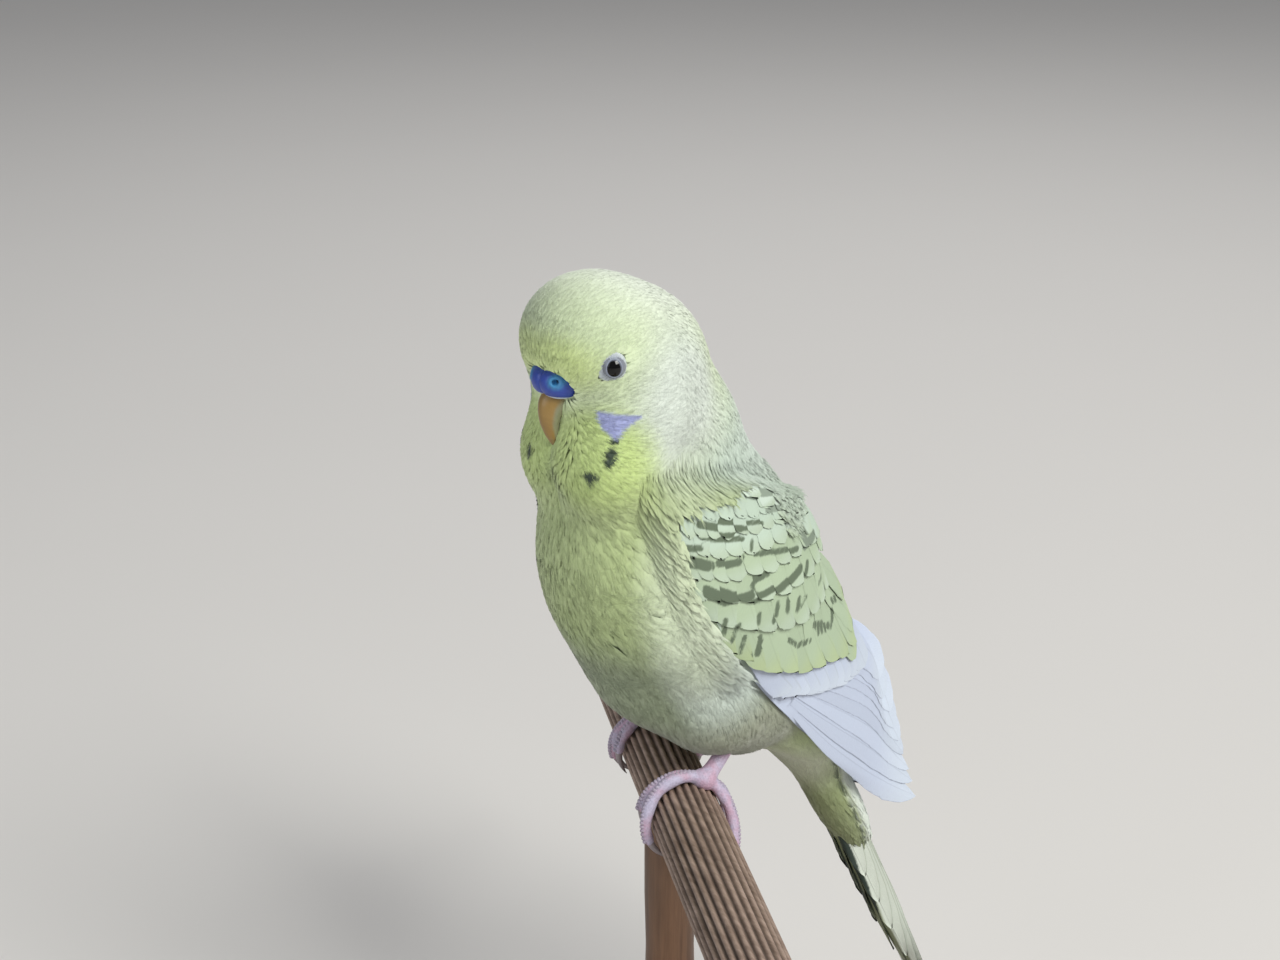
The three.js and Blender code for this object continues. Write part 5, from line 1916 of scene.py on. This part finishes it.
@dataclass
class Eye:
    """An eye with its lids: the ball, and the bare ring of skin that opens over it."""

    sign: int
    rim: Point = (11.5, 20.7, 75.4)
    looks: Point = (0.85, 0.52, 0.0)
    radius: float = 2.1
    sunk: float = 1.2
    opening: Pair = (1.12, 1.38)
    ring: Pair = (1.95, 2.25)

    def frame(self) -> tuple[Array, Array, Array, Array]:
        """The ball's middle, and the ways outwards, upwards and to the front across it."""
        flip = np.array([self.sign, 1, 1])
        out, rim = unit(flip * self.looks), flip * self.rim
        up = np.array([0.0, 0.0, 1.0])
        front = unit(np.array([0.0, 1.0, 0.0]) - out * out[1])
        return rim - out * self.sunk, out, up, front

    def stretch(self, turn: Array) -> Array:
        """How much further the bare ring reaches at turns from the top to the front: most below in front."""
        away = (np.degrees(turn) - 122 + 180) % 360 - 180
        return 1 + 0.34 * np.exp(-((away / 30) ** 2))

    def clear(self, p: Array, share: float) -> Array:
        """Whether points keep clear of the bare ring.

        Args:
            p: the points.
            share: the share of its size that the ring is taken as.

        Returns:
            True for each point that does.
        """
        middle, out, up, front = self.frame()
        local = p - middle
        x, y = local @ front / self.ring[0], local @ up / self.ring[1]
        reach = self.stretch(np.arctan2(x * self.ring[0], y * self.ring[1]))
        return (np.hypot(x, y) > reach * share) | (local @ out < -1.5)

    def ball(self, name: str) -> None:
        """Makes the eyeball with its cornea.

        Args:
            name: the side of the bird.
        """
        middle, out, up, front = self.frame()
        rows, columns = 60, 64
        opening = np.radians(np.linspace(0.5, 179.5, rows))[:, None]
        turn = np.radians(np.arange(columns) * 360 / columns)[None, :]
        cornea = 0.08 * np.exp(-((opening / 0.55) ** 2))
        r = self.radius + cornea
        p = middle + (
            (r * np.cos(opening) + 0 * turn)[..., None] * out
            + (r * np.sin(opening) * np.cos(turn))[..., None] * up
            + (r * np.sin(opening) * np.sin(turn))[..., None] * front
        )
        points, faces = loft(p)
        local = points - middle
        across = (local @ front - 0.09) / self.opening[0]
        high = (local @ up + 0.08) / self.opening[1]
        ring = np.where(local @ out > 0, np.hypot(across, high) / 2, 1.0)
        mould = Mould(f"eyeball_{name}")
        mould.add(points, faces, ring=ring)
        mould.cast(EYE, [f"eye_{name}"])

    def lids(self, name: str) -> None:
        """Makes the ring of lids: a soft roll at the opening, folds round it, and an edge in the feathers.

        Args:
            name: the side of the bird.
        """
        middle, out, up, front = self.frame()
        columns = 112
        turn = np.radians(np.arange(columns) * 360 / columns)[None, :]
        profile = np.array([
            (0.0, -0.28, 0), (0.0, 0.0, 0), (0.04, 0.09, 0), (0.12, 0.12, 0), (0.2, 0.05, 0.1),
            (0.3, 0.08, 0.3), (0.45, 0.03, 0.6), (0.65, 0.04, 0.9), (0.85, -0.02, 1), (1.0, -0.15, 1),
            (1.0, -0.8, 1), (0.5, -0.8, 0.6), (0.1, -0.5, 0),
        ])
        share, height, on_body = profile[:, :1], profile[:, 1:2], profile[:, 2:]
        reach = self.stretch(turn)
        wide = self.opening[0] + (self.ring[0] * reach - self.opening[0]) * share
        tall = self.opening[1] + (self.ring[1] * reach - self.opening[1]) * share
        x, y = wide * np.sin(turn), tall * np.cos(turn)
        far = np.minimum(np.hypot(x, y), self.radius * 0.98)
        folds = 0.025 * np.sin(turn * 26 + 3 * np.sin(turn * 3))
        folds = folds * (share > 0.12) * (share < 1.0) * (height > -0.2)
        z = np.sqrt(self.radius**2 - far**2) + height + folds
        p = middle + x[..., None] * front + y[..., None] * up + z[..., None] * out
        low = BODY.rest(p, np.broadcast_to(height + folds, x.shape))
        mould = Mould(f"eyelids_{name}")
        outer = np.broadcast_to(share, x.shape).ravel()
        mould.add(*hoop(between(p, low, on_body[..., None])), outer=outer)
        mould.cast(LIDS)

    def build(self) -> None:
        """Makes the ball and its lids."""
        name = side_name(self.sign)
        self.ball(name)
        self.lids(name)


EYES = (Eye(1), Eye(-1))


# Feet, claws and the dowel


class ShapeTree(Graph):
    """A Geometry Nodes tree under construction, with named inputs."""

    def __init__(self, name: str, sizes: dict[str, float]) -> None:
        """Starts a tree with a geometry input and one number input for each size."""
        super().__init__(bpy.data.node_groups.new(name, "GeometryNodeTree"))
        self.tree.interface.new_socket("Geometry", in_out="INPUT", socket_type="NodeSocketGeometry")
        self.sizes = sizes
        for key in sizes:
            self.tree.interface.new_socket(key, in_out="INPUT", socket_type="NodeSocketFloat")
        self.tree.interface.new_socket("Geometry", in_out="OUTPUT", socket_type="NodeSocketGeometry")
        self.inputs = self.tree.nodes.new("NodeGroupInput")
        self.output = self.tree.nodes.new("NodeGroupOutput")

    def given(self, key: str) -> Socket:
        """The input of that name."""
        return Socket(self, self.inputs.outputs[key])

    def end(self, shape: Socket, finish: Finish) -> None:
        """Ends the tree in Realize Instances and Set Material."""
        real = self.node("GeometryNodeRealizeInstances", {}, {"Geometry": shape})
        dressed = self.node("GeometryNodeSetMaterial", {}, {"Geometry": real, "Material": finish.material()})
        self.put(self.output.inputs[0], dressed)

    def applied(self, name: str, source: bpy.types.Mesh) -> bpy.types.Object:
        """The tree's result on a mesh, as a plain mesh object.

        Args:
            name: the new object's name.
            source: the mesh that the tree starts from.

        Returns:
            The object, with no modifier left on it.
        """
        holder = in_scene(f"{name}_source", source)
        modifier = holder.modifiers.new("shape", "NODES")
        modifier.node_group = self.tree
        for item in self.tree.interface.items_tree:
            if item.in_out == "INPUT" and item.name in self.sizes:
                modifier[item.identifier] = self.sizes[item.name]
        return made_plain(holder, name)


@dataclass(frozen=True)
class Dowel:
    """The cut length of fluted dowel that the bird grips."""

    radius: float = 6.0
    half_length: float = 78.0
    yaw: float = -27.5
    flutes: int = 26
    flute_depth: float = 0.62

    def near(self, along: Array, turn: Array, radius: Array) -> Array:
        """Points by the dowel.

        Args:
            along: millimetres along it to the left.
            turn: degrees round it, from its top to the front.
            radius: millimetres from its axis.

        Returns:
            The points in the bird's frame.
        """
        c, s = cos_sin(self.yaw)
        axis, front, up = np.array([c, -s, 0]), np.array([s, c, 0]), np.array([0, 0, 1.0])
        along, turn, radius = (x[..., None] for x in np.broadcast_arrays(along, turn, radius))
        angle = np.radians(turn)
        middle = np.array([0, 0, -self.radius]) + axis * along
        return middle + radius * (front * np.sin(angle) + up * np.cos(angle))

    def build(self) -> None:
        """Makes the dowel by nodes: a fluted outline swept along its length, with closed ends."""
        sizes = {
            "Half Length": self.half_length * MM, "Radius": self.radius * MM, "Flutes": float(self.flutes),
            "Flute Depth": self.flute_depth * MM,
        }
        t = ShapeTree("fluted_dowel", sizes)
        start = t.node("ShaderNodeCombineXYZ", {}, {"X": t.given("Half Length") * -1.0})
        stop = t.node("ShaderNodeCombineXYZ", {}, {"X": t.given("Half Length")})
        line = t.node("GeometryNodeCurvePrimitiveLine", {}, {"Start": start, "End": stop})
        rail = t.node("GeometryNodeResampleCurve", {}, {"Curve": line, "Count": 60})
        around = {"Resolution": self.flutes * 12, "Radius": t.given("Radius")}
        circle = t.node("GeometryNodeCurvePrimitiveCircle", {}, around)
        factor = t.node("GeometryNodeSplineParameter", {}, {}, "Factor")
        wave = (factor * t.given("Flutes") * (2 * math.pi)).cosine() * 0.5 + 0.5
        groove = wave**1.8
        deep = groove * t.given("Flute Depth") * -1.0
        place = t.node("GeometryNodeInputPosition", {}, {})
        outward = t.node("ShaderNodeVectorMath", {"operation": "NORMALIZE"}, {0: place})
        offset = t.node("ShaderNodeVectorMath", {"operation": "SCALE"}, {0: outward, "Scale": deep})
        outline = t.node("GeometryNodeSetPosition", {}, {"Geometry": circle, "Offset": offset})
        # The groove value carries the painted shade in the flutes' hollows.
        store = {"Geometry": outline, "Name": "groove", "Value": groove}
        outline = t.node("GeometryNodeStoreNamedAttribute", {"data_type": "FLOAT", "domain": "POINT"}, store)
        swept = {"Curve": rail, "Profile Curve": outline, "Fill Caps": True}
        t.end(t.node("GeometryNodeCurveToMesh", {}, swept), DOWEL)
        piece = t.applied("dowel", bpy.data.meshes.new("dowel_seed"))
        mesh = piece.data
        co = np.empty(len(mesh.vertices) * 3)
        mesh.vertices.foreach_get("co", co)
        co = co.reshape(-1, 3)
        c, s = cos_sin(self.yaw)
        end = 1 - 0.03 * smooth((np.abs(co[:, 0]) / MM - self.half_length + 0.6) / 0.6)
        x, y, z = co[:, 0], co[:, 1] * end, co[:, 2] * end
        turned = vec(x * c - y * s, x * s + y * c, z + (PERCH_TOP - self.radius) * MM)
        mesh.vertices.foreach_set("co", turned.ravel())
        mesh.update()
        settle(piece, DOWEL, ["perch"])


DOWEL_FORM = Dowel()


@dataclass(frozen=True)
class Toe:
    """A toe: how far round the dowel it ends, in degrees to the front, and how far along it drifts."""

    end: float
    drift: float


@dataclass
class Foot:
    """A foot round the dowel with the lower leg above it: palm, four toes, scutes and claws."""

    sign: int
    spread: float = 12.6
    palm_turn: float = -28.0
    toe_radius: float = 1.02
    clearance: float = 0.12
    claw_length: float = 4.6
    claw_radius: float = 0.58
    claw_turn: float = 34.0
    tarsus_radius: float = 1.3
    toes: tuple[Toe, ...] = (Toe(84, -1.6), Toe(112, 3.6), Toe(-112, 7.5), Toe(-96, -2.0))
    hock: Point = (10.2, -9, 10)

    @property
    def round(self) -> float:
        """From the dowel's middle to a toe's."""
        return DOWEL_FORM.radius + self.clearance + self.toe_radius

    def path(self, toe: Toe, share: Array) -> Array:
        """The middle line of a toe and its claw.

        Args:
            toe: the toe.
            share: places on the line, from the palm (0) to the toe's end (1) and on along the claw.

        Returns:
            The points in the bird's frame.
        """
        way = math.copysign(1, toe.end)
        s = np.minimum(share, 1)
        start = self.palm_turn + way * 5
        turn = start + (toe.end - start) * s + way * self.claw_turn * np.maximum(share - 1, 0)
        drift = toe.drift * smooth(s * 0.75) * 1.2
        rise = 0.1 * np.sin(math.pi * np.minimum(1, s * 1.5)) ** 2
        rise = np.where(share <= 1, rise, -0.45 * (share - 1))
        return DOWEL_FORM.near(self.sign * (self.spread + drift), turn, self.round + rise)

    def tarsus(self, share: Array) -> Array:
        """The middle line of the lower leg from the palm (0) into the belly (1)."""
        low = DOWEL_FORM.near(self.sign * self.spread, self.palm_turn, self.round + 0.5)
        high = np.array([self.hock[0] * self.sign, self.hock[1] + 0.35 * low[1], self.hock[2]])
        s = np.asarray(share)[:, None]
        return between(low, high, s) + np.array([0, 0, -1.0]) * np.sin(math.pi * s)

    def flesh(self) -> bpy.types.Mesh:
        """The skin of toes, palm and leg, run together from plain tubes."""
        mould = Mould("foot_flesh")
        for toe in self.toes:
            s = np.linspace(0, 1.03, 40)
            joints = 0.1 * np.cos(s * 6 * math.pi)
            radii = self.toe_radius * (1.12 - 0.3 * s + joints) * np.where(s > 0.97, 0.8, 1)
            mould.add(*tube(self.path(toe, s), radii))
        s = np.linspace(0, 0.92, 24)
        mould.add(*tube(self.tarsus(s), self.tarsus_radius * (1.05 + 0.2 * np.exp(-((s / 0.12) ** 2)))))
        turns = self.palm_turn + np.array([-15.0, 17.0])
        palm = DOWEL_FORM.near(np.array([self.sign * self.spread] * 2), turns, self.round + 0.3)
        mould.add(*tube(np.linspace(palm[0], palm[1], 8), np.array([0.9, 1.4, 1.7, 1.8, 1.8, 1.7, 1.4, 0.9])))
        return mould.mesh()

    def skin(self, name: str) -> None:
        """Makes the leg and foot in one skin, in place of their nodes.

        Args:
            name: the side of the bird.
        """
        holder = in_scene("foot_source", self.flesh())
        remesh = holder.modifiers.new("one_skin", "REMESH")
        remesh.mode = "VOXEL"
        remesh.voxel_size = 0.22 * MM
        relax = holder.modifiers.new("relax", "SMOOTH")
        relax.factor, relax.iterations = 0.5, 6
        piece = made_plain(holder, f"foot_skin_{name}")
        piece.data.polygons.foreach_set("use_smooth", np.ones(len(piece.data.polygons), bool))
        settle(piece, FOOT_SKIN, [f"leg_{name}", f"foot_{name}"])

    def scutes(self, name: str) -> None:
        """Makes the overlapping scutes along the backs of the toes and the front of the leg, by nodes.

        Args:
            name: the side of the bird.
        """
        steps = 40
        start, ahead = DOWEL_FORM.near(np.array([0.0, 1.0]), 0.0, 0.0)
        lines = []
        for toe in self.toes:
            middle = self.path(toe, np.linspace(0.08, 0.97, steps))
            away = middle - (start + ((middle - start) @ (ahead - start))[:, None] * (ahead - start))
            lines.append(middle + unit(away) * (self.toe_radius * 0.58))
        away = unit(np.array([0.2 * self.sign, 0.95, 0.1]))
        lines.append(self.tarsus(np.linspace(0.1, 0.86, steps)) + away * (self.tarsus_radius * 0.6))
        k = np.arange(steps - 1)
        edges = np.vstack([vec(k, k + 1) + steps * number for number in range(len(lines))])
        seed = bpy.data.meshes.new(f"scute_line_{name}")
        seed.from_pydata(placed(np.vstack(lines)).tolist(), edges.tolist(), [])
        t = ShapeTree(f"scutes_{name}", {"Pitch": 0.62 * MM, "Size": 0.56 * MM})
        curve = t.node("GeometryNodeMeshToCurve", {}, {"Mesh": t.given("Geometry")})
        every = {"Curve": curve, "Length": t.given("Pitch")}
        rail = t.node("GeometryNodeResampleCurve", {"mode": "LENGTH"}, every)
        knob = t.node("GeometryNodeMeshIcoSphere", {}, {"Radius": t.given("Size"), "Subdivisions": 3})
        knob = t.node("GeometryNodeTransform", {}, {"Geometry": knob, "Scale": (1.05, 1.05, 0.72)})
        knob = t.node("GeometryNodeSetShadeSmooth", {}, {"Geometry": knob})
        tangent = t.node("GeometryNodeInputTangent", {}, {})
        turn = t.node("FunctionNodeAlignRotationToVector", {"axis": "Z"}, {"Vector": tangent})
        put = {"Points": rail, "Instance": knob, "Rotation": turn}
        t.end(t.node("GeometryNodeInstanceOnPoints", {}, put), SCUTE)
        settle(t.applied(f"foot_scutes_{name}", seed), SCUTE)

    def claws(self, name: str) -> None:
        """Makes the four claws, curved and sharp, in place of their nodes.

        Args:
            name: the side of the bird.
        """
        mould = Mould(f"claws_sharp_{name}")
        reach = self.claw_length / (self.round * math.radians(self.claw_turn))
        steps, sides = 26, 18
        for toe in self.toes:
            share = np.linspace(0, 1, steps)
            radii = self.claw_radius * (1 - share**1.5) + 0.06
            points, faces = tube(self.path(toe, np.linspace(0.94, 1 + reach, steps)), radii, sides)
            mould.add(points, faces, along=np.concatenate([np.repeat(share, sides), [0, 1]]))
        mould.cast(CLAW, [f"claw_{name}_{i}" for i in range(1, 5)])

    def build(self) -> None:
        """Makes the foot's pieces."""
        name = side_name(self.sign)
        self.skin(name)
        self.scutes(name)
        self.claws(name)


@dataclass
class Stand:
    """The plain display stand: a turned round base, a collar and one post."""

    base_radius: float = 55.0
    base_height: float = 11.0
    edge: float = 2.5
    post_radius: float = 4.5
    collar_radius: float = 7.5
    collar_height: float = 7.0
    gap: float = 0.3

    def turned(
        self, name: str, profile: Sequence[Pair], finish: Finish, node: str, sides: int, hollow: bool = False
    ) -> None:
        """Makes a turned piece.

        Args:
            name: its name.
            profile: pairs of radius and height above the floor, from below to above.
            finish: its wood.
            node: the CAD node that it takes the place of.
            sides: how many points it has round.
            hollow: whether it has a hole, so that the profile closes on itself.
        """
        run = np.array(profile, float)
        angle = np.linspace(0, 2 * math.pi, sides, endpoint=False)[None, :]
        rings = vec(run[:, :1] * np.cos(angle), run[:, :1] * np.sin(angle), run[:, 1:] - PERCH_TOP)
        mould = Mould(name)
        mould.add(*(hoop(rings) if hollow else loft(rings)))
        mould.cast(finish, [node])

    def build(self) -> None:
        """Makes the base, the collar and the post."""
        r, h, e = self.base_radius, self.base_height, self.edge
        arc = [cos_sin(degrees) for degrees in range(0, 91, 10)]
        rounding = [(r - e + e * c, h - e + e * s) for c, s in arc]
        groove = [(r - 9, h), (r - 9.4, h - 0.5), (r - 10, h - 0.65), (r - 10.6, h - 0.5), (r - 11, h)]
        base = [(0.01, 0), (r - 1.2, 0), (r - 0.5, 0.2), (r, 0.8), *rounding, *groove, (12, h), (0.01, h)]
        self.turned("base_turned", base, STAND, "stand_base", 160)
        low = h + self.gap
        c, top = self.collar_radius, low + self.collar_height
        inner = self.post_radius + self.gap
        collar = [
            (inner, low), (c, low), (c, low + 1.5), (c - 0.5, low + 2.2), (c - 0.5, top - 2.4),
            (c - 0.1, top - 1.8), (c - 0.1, top - 0.9), (c - 0.8, top), (inner, top),
        ]
        self.turned("collar_turned", collar, STAND, "stand_collar", 96, True)
        top = PERCH_TOP - DOWEL_FORM.radius * 2 + 1.2
        p = self.post_radius
        post = [
            (0.01, low), (p - 0.4, low), (p, low + 0.4), (p, low + 30), (p - 0.25, low + 40), (p, low + 50),
            (p, top - 0.5), (p - 0.5, top), (0.01, top),
        ]
        self.turned("post_turned", post, POST, "stand_post", 72)


# Floor, light and camera


@dataclass
class Studio:
    """The pale floor, the soft light and the camera at the photo's angle."""

    camera_place: Point = (0.2953, -0.2374, 0.2761)
    camera_turn: Point = (70.0, 0.0, 52.0)
    lens: float = 68.9

    def floor(self) -> None:
        """Makes the floor, wide enough for every view."""
        mesh = bpy.data.meshes.new("floor")
        mesh.from_pydata([(-3, -3, 0), (3, -3, 0), (3, 3, 0), (-3, 3, 0)], [], [(0, 1, 2, 3)])
        mesh.materials.append(FLOOR.material())
        in_scene("floor", mesh)

    def lamp(self, name: str, place: Point, target: Point, power: float, size: float, tint: str) -> None:
        """Hangs a soft square lamp.

        Args:
            name: its name.
            place: where it hangs, in metres.
            target: what it points at.
            power: its power in watts.
            size: the length of its side in metres.
            tint: its colour.
        """
        light = bpy.data.lights.new(name, "AREA")
        light.energy, light.size, light.color = power, size, tuple(paint(tint))
        lamp = in_scene(name, light)
        lamp.location = place
        x, y, z = np.array(place) - np.array(target)
        lamp.rotation_euler = (math.acos(z / np.linalg.norm([x, y, z])), 0.0, math.atan2(y, x) + math.pi / 2)

    def sky(self) -> None:
        """Fills the room with even light."""
        world = bpy.data.worlds.new("room")
        world.use_nodes = True
        background = world.node_tree.nodes["Background"]
        background.inputs["Color"].default_value = (0.93, 0.95, 1.0, 1.0)
        background.inputs["Strength"].default_value = 0.27
        bpy.context.scene.world = world
        bpy.context.scene.view_settings.view_transform = "Standard"

    def camera(self) -> None:
        """Sets the camera."""
        lens = bpy.data.cameras.new("camera")
        lens.lens, lens.sensor_width = self.lens, 36.0
        lens.clip_start, lens.clip_end = 0.01, 20.0
        camera = in_scene("camera", lens)
        camera.location = self.camera_place
        camera.rotation_euler = tuple(math.radians(a) for a in self.camera_turn)
        bpy.context.scene.camera = camera

    def build(self) -> None:
        """Sets up the floor, the light and the camera."""
        self.floor()
        middle = (0.0, 0.0, 0.11)
        self.lamp("key", (0.8, 0.05, 0.85), middle, 10.8, 0.5, "fffffa")
        self.lamp("fill", (-0.1, -1.0, 0.5), middle, 2.5, 0.7, "f4faff")
        self.lamp("back", (-0.5, 0.6, 0.9), middle, 3.5, 0.6, "ffffff")
        self.sky()
        self.camera()


def main() -> None:
    """Builds every part of the model in order."""
    logging.basicConfig(level=logging.INFO, format="%(message)s")
    parts = [
        Studio(), Skin(), Coat(), WingCover(1), WingCover(-1), WingFeathers(1), WingFeathers(-1), Tail(),
        CERE, Bill(), *EYES, Foot(1), Foot(-1), DOWEL_FORM, Stand(),
    ]
    for part in parts:
        part.build()


if __name__ == "__main__":
    main()
